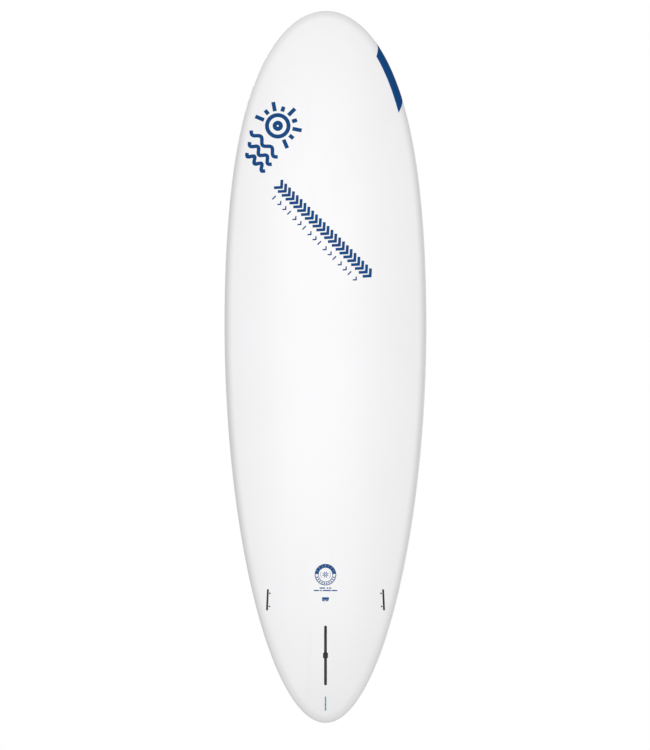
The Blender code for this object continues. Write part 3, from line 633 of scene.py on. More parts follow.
def linked(name: str, mesh: bpy.types.Mesh) -> Piece:
    """Links a new object with this mesh to the scene and returns it.

    Args:
        name: its name.
        mesh: its mesh.

    Returns:
        The object.
    """
    piece = bpy.data.objects.new(name, mesh)
    bpy.context.scene.collection.objects.link(piece)
    return piece


def mesh_of(name: str, shape: Shape) -> bpy.types.Mesh:
    """Turns a bmesh into a mesh and frees it.

    Args:
        name: its name.
        shape: the bmesh, which is freed.

    Returns:
        The mesh.
    """
    mesh = bpy.data.meshes.new(name)
    shape.to_mesh(mesh)
    shape.free()
    return mesh


def crisp(mesh: bpy.types.Mesh, angle: float = 32.0) -> None:
    """Shades a mesh smooth except across edges sharper than the angle, in degrees."""
    mesh.shade_smooth()
    mesh.set_sharp_from_angle(angle=math.radians(angle))


def settle(piece: Piece) -> None:
    """Applies a piece's modifiers.

    Args:
        piece: the piece.
    """
    bpy.context.view_layer.update()
    graph = bpy.context.evaluated_depsgraph_get()
    mesh = bpy.data.meshes.new_from_object(piece.evaluated_get(graph))
    piece.modifiers.clear()
    piece.data = mesh


def carve(piece: Piece, cutters: Sequence[Piece]) -> None:
    """Cuts the cutters out of a piece and removes them.

    Args:
        piece: what is cut.
        cutters: closed solids.
    """
    for cutter in cutters:
        cut = piece.modifiers.new(cutter.name, "BOOLEAN")
        cut.operation = "DIFFERENCE"
        cut.solver = "EXACT"
        cut.object = cutter
    settle(piece)
    for cutter in cutters:
        bpy.data.objects.remove(cutter)


def filmed(piece: Piece, thickness: float, angle: float) -> Piece:
    """Thickens a sheet inwards into a thin film.

    Args:
        piece: the sheet.
        thickness: the film's thickness.
        angle: edges sharper than this stay sharp, in degrees.

    Returns:
        The same piece.
    """
    film = piece.modifiers.new("film", "SOLIDIFY")
    film.thickness = thickness
    film.offset = -1
    settle(piece)
    crisp(piece.data, angle)
    return piece


def quads(shape: Shape, grid: Sequence[Sequence[bmesh.types.BMVert]]) -> None:
    """Joins a grid of vertices with faces.

    Args:
        shape: the bmesh to add to.
        grid: rows of vertices.
    """
    for row, following in zip(grid, grid[1:]):
        for k in range(len(row) - 1):
            shape.faces.new((row[k], row[k + 1], following[k + 1], following[k]))


def band(shape: Shape, loops: Sequence[Sequence[bmesh.types.BMVert]]) -> list[bmesh.types.BMFace]:
    """Joins closed loops of equally many vertices, each with the next, and returns the faces.

    Args:
        shape: the bmesh to add to.
        loops: closed loops of vertices.

    Returns:
        The faces.
    """
    faces = []
    for upper, lower in zip(loops, loops[1:]):
        for k in range(len(upper)):
            following = (k + 1) % len(upper)
            faces.append(shape.faces.new((upper[k], lower[k], lower[following], upper[following])))
    return faces


def loft_into(shape: Shape, rings: Sequence[Ring], matrix: Matrix) -> None:
    """Adds a closed solid through rings of equally many points to a bmesh.

    Args:
        shape: the bmesh to add to.
        rings: rings of equally many points.
        matrix: the rings' frame.
    """
    loops = [[shape.verts.new(matrix @ Vector(point)) for point in ring] for ring in rings]
    faces = band(shape, loops)
    faces.append(shape.faces.new(loops[0]))
    faces.append(shape.faces.new(loops[-1][::-1]))
    bmesh.ops.recalc_face_normals(shape, faces=faces)


def lofted(name: str, rings: Sequence[Ring], matrix: Matrix, angle: float = 32.0) -> Piece:
    """A closed solid through rings.

    Args:
        name: the object's name.
        rings: rings of equally many points, in the matrix's frame.
        matrix: the frame.
        angle: edges sharper than this stay sharp, in degrees.

    Returns:
        The linked object.
    """
    shape = bmesh.new()
    loft_into(shape, rings, matrix)
    mesh = mesh_of(name, shape)
    crisp(mesh, angle)
    return linked(name, mesh)


def looped(name: str, rings: Sequence[Ring], matrix: Matrix, angle: float = 32.0) -> Piece:
    """A solid with a hole through it: the last of its rings joins the first.

    Args:
        name: the object's name.
        rings: rings of equally many points, in the matrix's frame.
        matrix: the frame.
        angle: edges sharper than this stay sharp, in degrees.

    Returns:
        The linked object.
    """
    shape = bmesh.new()
    loops = [[shape.verts.new(matrix @ Vector(point)) for point in ring] for ring in rings]
    band(shape, loops + loops[:1])
    bmesh.ops.recalc_face_normals(shape, faces=shape.faces)
    mesh = mesh_of(name, shape)
    crisp(mesh, angle)
    return linked(name, mesh)


def level(outline: Outline, z: float, shift: float = 0.0) -> Ring:
    """A ring at one height, moved sideways by the shift."""
    return [(x + shift, y, z) for x, y in outline]


def levels(outline: Callable[[float], Outline], *steps: Pair) -> list[Ring]:
    """Rings of an outline, with one (size, height) for each."""
    return [level(outline(size), z) for size, z in steps]


def circle(radius: float, steps: int = 48) -> Outline:
    """Points round a circle."""
    turns = [2 * math.pi * k / steps for k in range(steps)]
    return [(radius * math.cos(turn), radius * math.sin(turn)) for turn in turns]


def star(reach: Callable[[float], float], steps: int = 96) -> Outline:
    """Points round a centre at the distance that reach gives for each angle."""
    turns = [2 * math.pi * k / steps for k in range(steps)]
    return [(reach(turn) * math.cos(turn), reach(turn) * math.sin(turn)) for turn in turns]


def hexagon(across: float, steps: int = 48) -> Outline:
    """Points round a hexagon with this half distance across its flats."""
    return star(lambda turn: across / math.cos((turn % (math.pi / 3)) - math.pi / 6), steps)


def slit(length: float, width: float, steps: int = 96) -> Outline:
    """Points round a narrow rectangle along X.

    Args:
        length: the size along X.
        width: the size along Y.
        steps: how many points there are.

    Returns:
        The outline.
    """

    def reach(turn: float) -> float:
        """Distance to the rectangle's side at an angle."""
        return min(length / 2 / max(1e-6, abs(math.cos(turn))), width / 2 / max(1e-6, abs(math.sin(turn))))

    return star(reach, steps)


def rounded(length: float, width: float, radius: float, grow: float = 0.0, steps: int = 9) -> Outline:
    """Points round a rectangle with round corners and its length along Y.

    Args:
        length: the size along it.
        width: the size across it.
        radius: the corners' radius.
        grow: how far every point moves outwards.
        steps: how many steps each corner has.

    Returns:
        The outline.
    """
    half_x, half_y, radius = width / 2 + grow, length / 2 + grow, max(1e-5, radius + grow)
    points = []
    for k, (sx, sy) in enumerate(((1, 1), (-1, 1), (-1, -1), (1, -1))):
        for j in range(steps + 1):
            turn = math.pi / 2 * (k + j / steps)
            x = sx * (half_x - radius) + radius * math.cos(turn)
            y = sy * (half_y - radius) + radius * math.sin(turn)
            points.append((x, y))
    return points


def slot(
    size: Pair,
    notch: Optional[Pair] = None,
    notch_y: float = 0.0,
    grow: float = 0.0,
) -> Outline:
    """Points round a slot along Y with round ends and, where one is given, a wider chamfered notch.

    Args:
        size: length and width.
        notch: the notch's length and width.
        notch_y: where the notch's middle is.
        grow: how far every point moves outwards.

    Returns:
        The outline, anticlockwise.
    """
    length, width = size[0] + 2 * grow, size[1] + 2 * grow
    radius = width / 2
    notch_length, notch_width = notch or (0.024, size[1])
    half, side = notch_length / 2 + grow, notch_width / 2 + grow
    chamfer = min(0.003, half / 2)
    bumps = [(radius, -half), (side, -half + chamfer), (side, half - chamfer), (radius, half)]
    right = [(x, notch_y + y) for x, y in bumps]
    centre = length / 2 - radius
    steps = 14

    def end(start: float, y: float) -> Outline:
        """The points of one round end."""
        turns = (start + math.pi * k / steps for k in range(steps + 1))
        return [(radius * math.cos(turn), y + radius * math.sin(turn)) for turn in turns]

    return [*right, *end(0, centre), *((-x, y) for x, y in reversed(right)), *end(math.pi, -centre)]


def turned(
    name: str, profile: Sequence[Pair], matrix: Matrix, steps: int = 48
) -> Piece:
    """A solid turned about Z from (radius, z) points, capped at both ends."""
    return lofted(name, levels(partial(circle, steps=steps), *profile), matrix)


def fillet(reach: float, z: float, radius: float, start: float, end: float, steps: int) -> Outline:
    """(reach, z) points round an arc about a centre, from one angle to another in degrees."""
    turns = [math.radians(start + (end - start) * k / steps) for k in range(steps + 1)]
    return [(reach + radius * math.cos(turn), z + radius * math.sin(turn)) for turn in turns]


def installed(piece: Piece, coat: Coat, body: str, slot_name: str, *nodes: str) -> Piece:
    """Gives a piece its finish and its body, hides the nodes it stands for, and reports it.

    Args:
        piece: the finished piece.
        coat: its finish.
        body: the body that it rides on.
        slot_name: not used.
        nodes: the nodes that it replaces.

    Returns:
        The piece.
    """
    piece.data.materials.clear()
    piece.data.materials.append(coat.material())
    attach(piece, body)
    if nodes:
        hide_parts(*nodes)
    LOG.info("%s: %d faces, %s", piece.name, len(piece.data.polygons), coat.value.name)
    return piece


# ---------------------------------------------------------------- hull


@dataclass(frozen=True)
class HullForm:
    """The lines of the hull."""

    length: float = 3.048
    width: float = 0.8636
    thick: float = 0.114
    tip_thick: float = 0.042
    thick_fall: float = 2.2
    wide_from_tail: float = 1.707
    nose_full: float = 0.365
    tail_full: float = -0.094
    nose_rise: float = 0.125
    nose_start: float = -0.35
    nose_power: float = 2.4
    tail_start: float = 0.25
    tail_bend: float = 0.60
    tail_slope: float = 0.0527
    rail_tuck: float = 0.034
    deck_rail: float = 0.070
    apex_share: float = 0.40
    deck_crown: float = 2.6

    @property
    def wide_y(self) -> float:
        """Where the board is widest."""
        return self.length / 2 - self.wide_from_tail

    def half_width(self, y: float) -> float:
        """Half the board's width at y.

        Args:
            y: the place along the board.

        Returns:
            Half the width.
        """
        nose = self.wide_y + self.length / 2
        if y < self.wide_y:
            share, full = (self.wide_y - y) / nose, self.nose_full
        else:
            share, full = (y - self.wide_y) / self.wide_from_tail, self.tail_full
        return self.width / 2 * math.sqrt(max(0.0, (1 - share**2) * (1 + full * share**2)))

    def rocker(self, y: float) -> float:
        """Height of the bottom's centre line.

        Args:
            y: the place along the board.

        Returns:
            The height.
        """
        if y < self.nose_start:
            share = (self.nose_start - y) / (self.length / 2 + self.nose_start)
            return self.nose_rise * max(0.0, share) ** self.nose_power
        run = max(0.0, y - self.tail_start)
        bend = min(run, self.tail_bend)
        return self.tail_slope * (bend**2 / (2 * self.tail_bend) + run - bend)

    def thickness(self, y: float) -> float:
        """Thickness on the centre line."""
        share = min(1.0, abs(y) / (self.length / 2))
        return self.tip_thick + (self.thick - self.tip_thick) * (1 - share**self.thick_fall)

    def deck_height(self, y: float) -> float:
        """Height of the deck's centre line."""
        return self.rocker(y) + self.thickness(y)

    def edge_at(self, turn: float) -> tuple[Vector, Vector]:
        """The outline at an angle from the nose (0) to the tail (pi), and its inward normal.

        Args:
            turn: the angle.

        Returns:
            The point and the normal.
        """

        def point(angle: float) -> Vector:
            """A point of the outline.

            Args:
                angle: the angle.

            Returns:
                The point.
            """
            ahead = angle < math.pi / 2
            reach = self.wide_y + self.length / 2 if ahead else self.wide_from_tail
            share = math.cos(angle)
            fill = math.sqrt(1 + (self.nose_full if ahead else self.tail_full) * share**2)
            return Vector((self.width / 2 * math.sin(angle) * fill, self.wide_y - reach * share))

        if turn <= 1e-9 or turn >= math.pi - 1e-9:
            return Vector((0.0, point(turn).y)), Vector((0, 1 if turn < 1 else -1))
        before, after = point(max(0.0, turn - 0.001)), point(min(math.pi, turn + 0.001))
        along = (after - before).normalized()
        return point(turn), Vector((-along.y, along.x))

    def bottom_point(self, edge: Vector, inward: Vector, share: float) -> Vector:
        """A point of the rounded lower rail, from its apex (0) to the flat bottom (1).

        Args:
            edge: a point of the outline.
            inward: the outline's inward normal there.
            share: 0 at the apex, 1 on the flat bottom.

        Returns:
            The point.
        """
        angle = math.pi / 2 * (1 - share)
        at = edge + inward * self.rail_tuck * (1 - math.sin(angle))
        lift = self.apex_share * self.thickness(at.y) * (1 - math.cos(angle))
        return Vector((max(0.0, at.x), at.y, self.rocker(at.y) + lift))

    def deck_point(self, edge: Vector, inward: Vector, step: float) -> Vector:
        """A point of the deck at a distance in from the rail's apex, measured level.

        Args:
            edge: a point of the outline.
            inward: the outline's inward normal there.
            step: the distance.

        Returns:
            The point.
        """
        inner = edge + inward * self.deck_rail
        reach = self.deck_rail + max(0.0, inner.x)
        if step <= self.deck_rail:
            at = edge + inward * step
        else:
            at = Vector((inner.x - (step - self.deck_rail), inner.y))
        rise = math.sqrt(max(0.0, 1 - (1 - min(1.0, step / reach)) ** self.deck_crown))
        apex = self.apex_share * self.thickness(at.y) + GAP
        lift = apex + (self.thickness(at.y) - apex) * rise
        return Vector((max(0.0, at.x), at.y, self.rocker(at.y) + lift))

    def bottom_column(self, edge: Vector, inward: Vector) -> list[Vector]:
        """Points from the rail's apex across the bottom to the centre line.

        Args:
            edge: a point of the outline.
            inward: the outline's inward normal there.

        Returns:
            The points.
        """
        points = [self.bottom_point(edge, inward, k / 16) for k in range(17)]
        last = points[-1]
        return points + [Vector((last.x * (1 - k / 12), last.y, last.z)) for k in range(1, 13)]

    def deck_column(self, edge: Vector, inward: Vector) -> list[Vector]:
        """Points from the rail's apex across the deck to the centre line.

        Args:
            edge: a point of the outline.
            inward: the outline's inward normal there.

        Returns:
            The points.
        """
        inner = max(0.0, (edge + inward * self.deck_rail).x)
        steps = [self.deck_rail * (k / 18) ** 2 for k in range(19)]
        steps += [self.deck_rail + inner * k / 22 for k in range(1, 23)]
        return [self.deck_point(edge, inward, step) for step in steps]

    def seat(self, x: float, y: float, on_deck: bool, toe: float = 0.0, drop: float = 0.0) -> Matrix:
        """The frame of a fitting on the centre line's height at x, y.

        Args:
            x: across the board.
            y: along the board.
            on_deck: whether it is let into the deck, or else the bottom.
            toe: its turn about its own Z.
            drop: how far it lies below the centre line's height.

        Returns:
            A matrix whose Z points out of the board and whose Y points aft.
        """
        height = self.deck_height if on_deck else self.rocker
        slope = (height(y + 0.001) - height(y - 0.001)) / 0.002
        out = (Vector((0, -slope, 1)) if on_deck else Vector((0, slope, -1))).normalized()
        aft = Vector((0, 1, slope)).normalized()
        turn = Matrix((aft.cross(out), aft, out)).transposed().to_4x4()
        return Matrix.Translation((x, y, height(y) - drop)) @ turn @ Matrix.Rotation(toe, 4, "Z")

    def crown_drop(self, x: float, y: float) -> float:
        """How far the deck has fallen at x from its centre line.

        Args:
            x: the place across the board.
            y: the place along the board.

        Returns:
            The drop.
        """
        apex = self.apex_share * self.thickness(y) + GAP
        step = self.half_width(y) - abs(x)
        rise = math.sqrt(max(0.0, 1 - (1 - step / self.half_width(y)) ** self.deck_crown))
        return (self.thickness(y) - apex) * (1 - rise)


class Face(Enum):
    """The two faces of the board."""

    BOTTOM = -1
    DECK = 1


class FairSurface:
    """One uncut face of the hull, fine enough to lay other pieces on and to take normals from."""

    stations = 240

    def __init__(self, form: HullForm, face: Face) -> None:
        """Builds the face.

        Args:
            form: the hull's lines.
            face: which face.
        """
        self.face = face
        column = form.bottom_column if face is Face.BOTTOM else form.deck_column
        rows = [column(*form.edge_at(math.pi * k / self.stations)) for k in range(self.stations + 1)]
        shape = bmesh.new()
        for side in (1, -1):
            grid = [[shape.verts.new((side * point.x, point.y, point.z)) for point in row] for row in rows]
            for row, following in zip(grid, grid[1:]):
                for k in range(len(row) - 1):
                    corners = (row[k], following[k], following[k + 1], row[k + 1])
                    shape.faces.new(corners if side * face.value < 0 else corners[::-1])
        bmesh.ops.remove_doubles(shape, verts=shape.verts, dist=2e-6)
        shape.normal_update()
        if sum(part.normal.z * part.calc_area() for part in shape.faces) * face.value < 0:
            bmesh.ops.reverse_faces(shape, faces=shape.faces)
            shape.normal_update()
        self.mesh = mesh_of(f"fair_{face.name.lower()}", shape)
        self.mesh.shade_smooth()
        places = [vertex.co for vertex in self.mesh.vertices]
        self.tree = BVHTree.FromPolygons(places, [polygon.vertices for polygon in self.mesh.polygons])

    def over(self, x: float, y: float, lift: float) -> Vector:
        """The point at a height above the face, at x and y.

        Args:
            x: the place across the board.
            y: the place along the board.
            lift: the height.

        Returns:
            The point.
        """
        start = Vector((x, y, self.face.value))
        place, normal, _, _ = self.tree.ray_cast(start, Vector((0, 0, -self.face.value)))
        if place is None:
            place, normal, _, _ = self.tree.find_nearest(Vector((x, y, 0.05)))
        if normal.z * self.face.value < 0:
            normal = -normal
        return place + normal * lift

    def normal_at(self, place: Vector) -> tuple[Vector, float]:
        """The smooth normal nearest a place, and how far away the face is.

        Args:
            place: the place.

        Returns:
            The normal and the distance.
        """
        found, _, index, distance = self.tree.find_nearest(place)
        corners = self.mesh.polygons[index].vertices
        total = Vector()
        for corner in corners:
            vertex = self.mesh.vertices[corner]
            weight = 1.0 / max(1e-7, (vertex.co - found).length_squared)
            total += vertex.normal * weight
        return total.normalized(), distance

    def fair(self, piece: Piece) -> None:
        """Gives a cut copy of the face the uncut face's smooth normals.

        Args:
            piece: the cut copy.
        """
        mesh = piece.data
        mesh.shade_smooth()
        known = [self.normal_at(vertex.co) for vertex in mesh.vertices]
        normals = []
        for polygon in mesh.polygons:
            for corner in polygon.vertices:
                normal, distance = known[corner]
                outer = distance < 2e-5 and polygon.normal.dot(normal) > 0.6
                normals.append(normal if outer else polygon.normal.copy())
        mesh.normals_split_custom_set(normals)


@dataclass
class Hull:
    """The two laminated skins and what lies inside them."""

    form: HullForm = field(default_factory=HullForm)
    skin: float = 0.002

    def __post_init__(self) -> None:
        """Builds the two fair faces."""
        self.bottom = FairSurface(self.form, Face.BOTTOM)
        self.deck = FairSurface(self.form, Face.DECK)

    def build_skin(self, surface: FairSurface, cutters: Sequence[Piece]) -> Piece:
        """A skin with its openings.

        Args:
            surface: the face that it follows.
            cutters: the solids of its openings.

        Returns:
            The skin.
        """
        name = "bottom_laminate" if surface.face is Face.BOTTOM else "deck_laminate"
        piece = linked(name, surface.mesh.copy())
        laminate = piece.modifiers.new("laminate", "SOLIDIFY")
        laminate.thickness = self.skin
        laminate.offset = -1
        carve(piece, cutters)
        surface.fair(piece)
        return piece

    def dress_inside(self, nodes: dict[str, Piece]) -> None:
        """Gives the core, the stringer and the blocks their finishes.

        Args:
            nodes: the CAD's objects by name.
        """
        coats = {
            "foam_core": Coat.CORE,
            "stringer": Coat.WOOD,
            "block": Coat.BLOCK,
            "vent_disc": Coat.BREATHER,
        }
        for name, node in nodes.items():
            for word, coat in coats.items():
                if word in name:
                    node.data.materials.clear()
                    node.data.materials.append(coat.material())
                    LOG.info("%s: %s", name, coat.value.name)


# ---------------------------------------------------------------- printed graphics


@dataclass
class Stroke:
    """A line of even width on a face, as points across and along the board."""

    points: Outline
    width: float
    closed: bool = False

    def sides(self) -> tuple[Outline, Outline]:
        """The points along the left and the right side of the line, with mitred corners.

        Returns:
            The two rows of points.
        """
        path = self.dense()
        left, right = [], []
        count = len(path)
        for k, here in enumerate(path):
            before = path[k - 1] if k or self.closed else None
            after = path[(k + 1) % count] if k < count - 1 or self.closed else None
            arms = [(here - before).normalized()] if before is not None else []
            arms += [(after - here).normalized()] if after is not None else []
            along = sum(arms, Vector((0, 0))).normalized()
            across = Vector((-along.y, along.x))
            stretch = max(0.35, across.dot(Vector((-arms[0].y, arms[0].x))))
            reach = across * self.width / 2 / stretch
            left.append(tuple(here + reach))
            right.append(tuple(here - reach))
        return left, right

    def dense(self, step: float = 0.010) -> list[Vector]:
        """The line's points, with more between those that are far apart.

        Args:
            step: about how far apart the points are.

        Returns:
            The points.
        """
        ends = [Vector(point) for point in self.points]
        pairs = list(zip(ends, ends[1:] + ends[:1] if self.closed else ends[1:]))
        path = []
        for start, end in pairs:
            parts = max(1, round((end - start).length / step))
            path += [start.lerp(end, k / parts) for k in range(parts)]
        return path if self.closed else path + [ends[-1]]


@dataclass
class Print:
    """A graphic printed on a face: strokes in one ink, as a thin film that follows the hull."""

    name: str
    surface: FairSurface
    coat: Coat
    strokes: list[Stroke]
    lift: float = 0.00022

    def build(self) -> Piece:
        """The film.

        Returns:
            The piece.
        """
        shape = bmesh.new()
        for stroke in self.strokes:
            left, right = stroke.sides()
            rows = []
            for a, b in zip(left, right):
                places = [(a[0] + (b[0] - a[0]) * t, a[1] + (b[1] - a[1]) * t) for t in (0, 0.5, 1)]
                rows.append([shape.verts.new(self.surface.over(x, y, self.lift)) for x, y in places])
            quads(shape, rows + rows[:1] if stroke.closed else rows)
        shape.normal_update()
        flat = [part for part in shape.faces if part.normal.z * self.surface.face.value < 0]
        bmesh.ops.reverse_faces(shape, faces=flat)
        return filmed(linked(self.name, mesh_of(self.name, shape)), 0.00012, 40.0)


def on_diagonal(origin: Pair, turn: float, points: Sequence[Pair]) -> Outline:
    """Points given along and across a slanted line, as points on the board.

    Args:
        origin: where the line starts.
        turn: the line's angle from +X towards +Y, in degrees.
        points: distances along the line and to its left.

    Returns:
        The points across and along the board.
    """
    cos, sin = math.cos(math.radians(turn)), math.sin(math.radians(turn))
    return [(origin[0] + u * cos - v * sin, origin[1] + u * sin + v * cos) for u, v in points]


def arc(centre: Pair, radius: float, start: float, end: float, steps: int = 24) -> Outline:
    """Points round an arc, with its angles in degrees from +X towards +Y."""
    turns = [math.radians(start + (end - start) * k / steps) for k in range(steps + 1)]
    return [(centre[0] + radius * math.cos(turn), centre[1] + radius * math.sin(turn)) for turn in turns]


def ring_stroke(centre: Pair, radius: float, steps: int, width: float) -> Stroke:
    """A closed round line."""
    return Stroke(arc(centre, radius, 0, 360, steps)[:-1], width, True)


@dataclass
class BottomGraphics:
    """Plain patterns on the bottom: a sun over waves, a band of chevrons, a badge and a few dashes."""

    surface: FairSurface
    sun: Pair = (-0.204, -1.028)
    tilt: float = 45.0
    band_start: Pair = (-0.203, -0.780)
    band_length: float = 0.535
    band_height: float = 0.054
    chevrons: int = 24
    ticks: int = 17
    badge: Pair = (0.0, 0.889)

    def sun_and_waves(self) -> Print:
        """The large mark near the nose, a sun with rays over three wave lines, on a slant.

        Returns:
            The print.
        """
        rings = ((0.046, 40, 0.0170), (0.0130, 28, 0.0180))
        strokes = [ring_stroke(self.sun, *ring) for ring in rings]
        for k in range(9):
            turn = -self.tilt - 112 + 28 * k
            inner, outer = (0.064, 0.086) if k % 2 else (0.064, 0.104)
            strokes.append(Stroke(on_diagonal(self.sun, turn, [(inner, 0), (outer, 0)]), 0.0165))
        for across, start, run in ((0.094, -0.066, 0.160), (0.134, -0.036, 0.134), (0.174, -0.010, 0.108)):
            shares = [k / 32 for k in range(33)]
            points = [
                (start + run * share, across + 0.011 * math.sin(5 * math.pi * share))
                for share in shares
            ]
            strokes.append(Stroke(on_diagonal(self.sun, self.tilt, points), 0.0155))
        return Print("sun_and_waves_print", self.surface, Coat.NAVY_INK, strokes)

    def chevron_band(self) -> Print:
        """A slanted band of chevrons.

        Returns:
            The print.
        """
        strokes = []
        half = self.band_height / 2
        for k in range(self.chevrons):
            u = self.band_length * k / (self.chevrons - 1)
            points = [(u, -half + 0.003), (u + half * 0.8, 0.0), (u, half - 0.003)]
            strokes.append(Stroke(on_diagonal(self.band_start, self.tilt, points), 0.0120))
        return Print("chevron_band_print", self.surface, Coat.NAVY_INK, strokes)

    def tick_row(self) -> Print:
        """A row of small arrows and ticks beside the band.

        Returns:
            The print.
        """
        strokes = []
        for k in range(self.ticks):
            u, middle, half = 0.030 + 0.486 * k / (self.ticks - 1), 0.054, 0.0105
            points = [(u, middle - half), (u + (0.0100 if k % 3 else 0.0), middle), (u, middle + half)]
            strokes.append(Stroke(on_diagonal(self.band_start, self.tilt, points), 0.0056))
        return Print("tick_row_print", self.surface, Coat.NAVY_INK, strokes)

    def round_badge(self) -> Print:
        """A ring, solid over its front half, round a small star of spokes.

        Returns:
            The print.
        """
        rings = ((0.0442, 60, 0.0034), (0.0308, 48, 0.0026))
        strokes = [ring_stroke(self.badge, *ring) for ring in rings]
        for k in range(8):
            start = 184 + 21.6 * k
            strokes.append(Stroke(arc(self.badge, 0.0375, start, start + 20.6, 6), 0.0150))
        for k in range(10):
            turn = 18 + 16 * k
            strokes.append(Stroke(on_diagonal(self.badge, turn, [(0.0338, 0), (0.0412, 0)]), 0.0048))
        for k in range(8):
            strokes.append(Stroke(on_diagonal(self.badge, 45 * k + 22.5, [(0.0030, 0), (0.0135, 0)]), 0.0030))
        for middle in (0, 180):
            strokes.append(Stroke(arc(self.badge, 0.0215, middle - 40, middle + 40, 10), 0.0012))
        return Print("round_badge_print", self.surface, Coat.BADGE_INK, strokes)

    def dash_lines(self) -> Print:
        """Rows of dashes below the badge and one short block.

        Returns:
            The print.
        """
        strokes = []
        rows = (
            (0.9465, 0.0050, (-0.0250, -0.0020), (0.0060, 0.0120), (0.0150, 0.0240)),
            (0.9570, 0.0050, (-0.0500, -0.0270), (-0.0235, -0.0165), (-0.0120, 0.0230), (0.0260, 0.0500)),
            (0.9915, 0.0110, (-0.0145, 0.0145)),
            (1.0005, 0.0045, (-0.0145, -0.0020), (0.0000, 0.0125)),
        )
        for y, height, *runs in rows:
            strokes += [Stroke([(start, y), (end, y)], height) for start, end in runs]
        return Print("dash_lines_print", self.surface, Coat.BADGE_INK, strokes)

    def tail_dashes(self) -> Print:
        """A line of teal dashes behind the long fin box.

        Returns:
            The print.
        """
        runs = ((1.4110, 1.4180), (1.4192, 1.4300), (1.4312, 1.4380))
        runs += ((1.4392, 1.4520), (1.4532, 1.4580), (1.4592, 1.4705))
        strokes = [Stroke([(0, start), (0, end)], 0.0062) for start, end in runs]
        return Print("tail_dashes_print", self.surface, Coat.TEAL_INK, strokes)

    def build(self) -> None:
        """Builds and installs every print."""
        large = (self.sun_and_waves, self.chevron_band, self.tick_row)
        small = (self.round_badge, self.dash_lines, self.tail_dashes)
        for draw in large + small:
            graphic = draw()
            installed(graphic.build(), graphic.coat, "hull", "bottom_paint")


@dataclass
class RailFlash:
    """The navy flash that wraps round the left rail near the nose, a slanted patch of the hull."""

    form: HullForm
    front: float = -1.386
    rear: float = -1.148
    inner_front: float = -1.340
    inner_rear: float = -1.090
    inner_share: float = 0.96
    deck_inset: float = 0.052
    lift: float = 0.0003

    def turn_at(self, y: float) -> float:
        """The outline's angle at y, ahead of the widest point."""
        return math.acos((self.form.wide_y - y) / (self.form.wide_y + self.form.length / 2))

    def profile(self) -> list[Pair]:
        """Steps round the rail: a share of the lower rail or a distance over the deck, and the ends' lean.

        Returns:
            The steps, from the flat bottom to the deck.
        """
        lower = [(-share, share) for share in (self.inner_share * (1 - k / 20) for k in range(20))]
        upper = [(self.deck_inset * (k / 20) ** 2, -k / 20) for k in range(21)]
        return lower + upper

    def point(self, y: float, reach: float) -> Vector:
        """A point of the hull at outline position y, below the rail's apex (negative reach) or above it.

        Args:
            y: the place along the board.
            reach: minus a share of the lower rail, or a distance over the deck.

        Returns:
            The point.
        """
        edge, inward = self.form.edge_at(self.turn_at(y))
        if reach < 0:
            return self.form.bottom_point(edge, inward, -reach)
        return self.form.deck_point(edge, inward, reach)

    def build(self) -> Piece:
        """The flash as a thin film.

        Returns:
            The piece.
        """
        shape = bmesh.new()
        rows = []
        along = 48
        for k in range(along + 1):
            row = []
            for reach, lean in self.profile():
                start = self.front + (self.inner_front - self.front) * lean
                end = self.rear + (self.inner_rear - self.rear) * lean
                row.append(self.point(start + (end - start) * k / along, reach))
            rows.append(row)
        quads(shape, [[shape.verts.new(point) for point in row] for row in rows])
        shape.normal_update()
        if sum(part.normal.x for part in shape.faces) < 0:
            bmesh.ops.reverse_faces(shape, faces=shape.faces)
            shape.normal_update()
        for vertex in shape.verts:
            vertex.co += vertex.normal * self.lift
        return filmed(linked("rail_flash_print", mesh_of("rail_flash_print", shape)), 0.00015, 50.0)


# ---------------------------------------------------------------- fin boxes


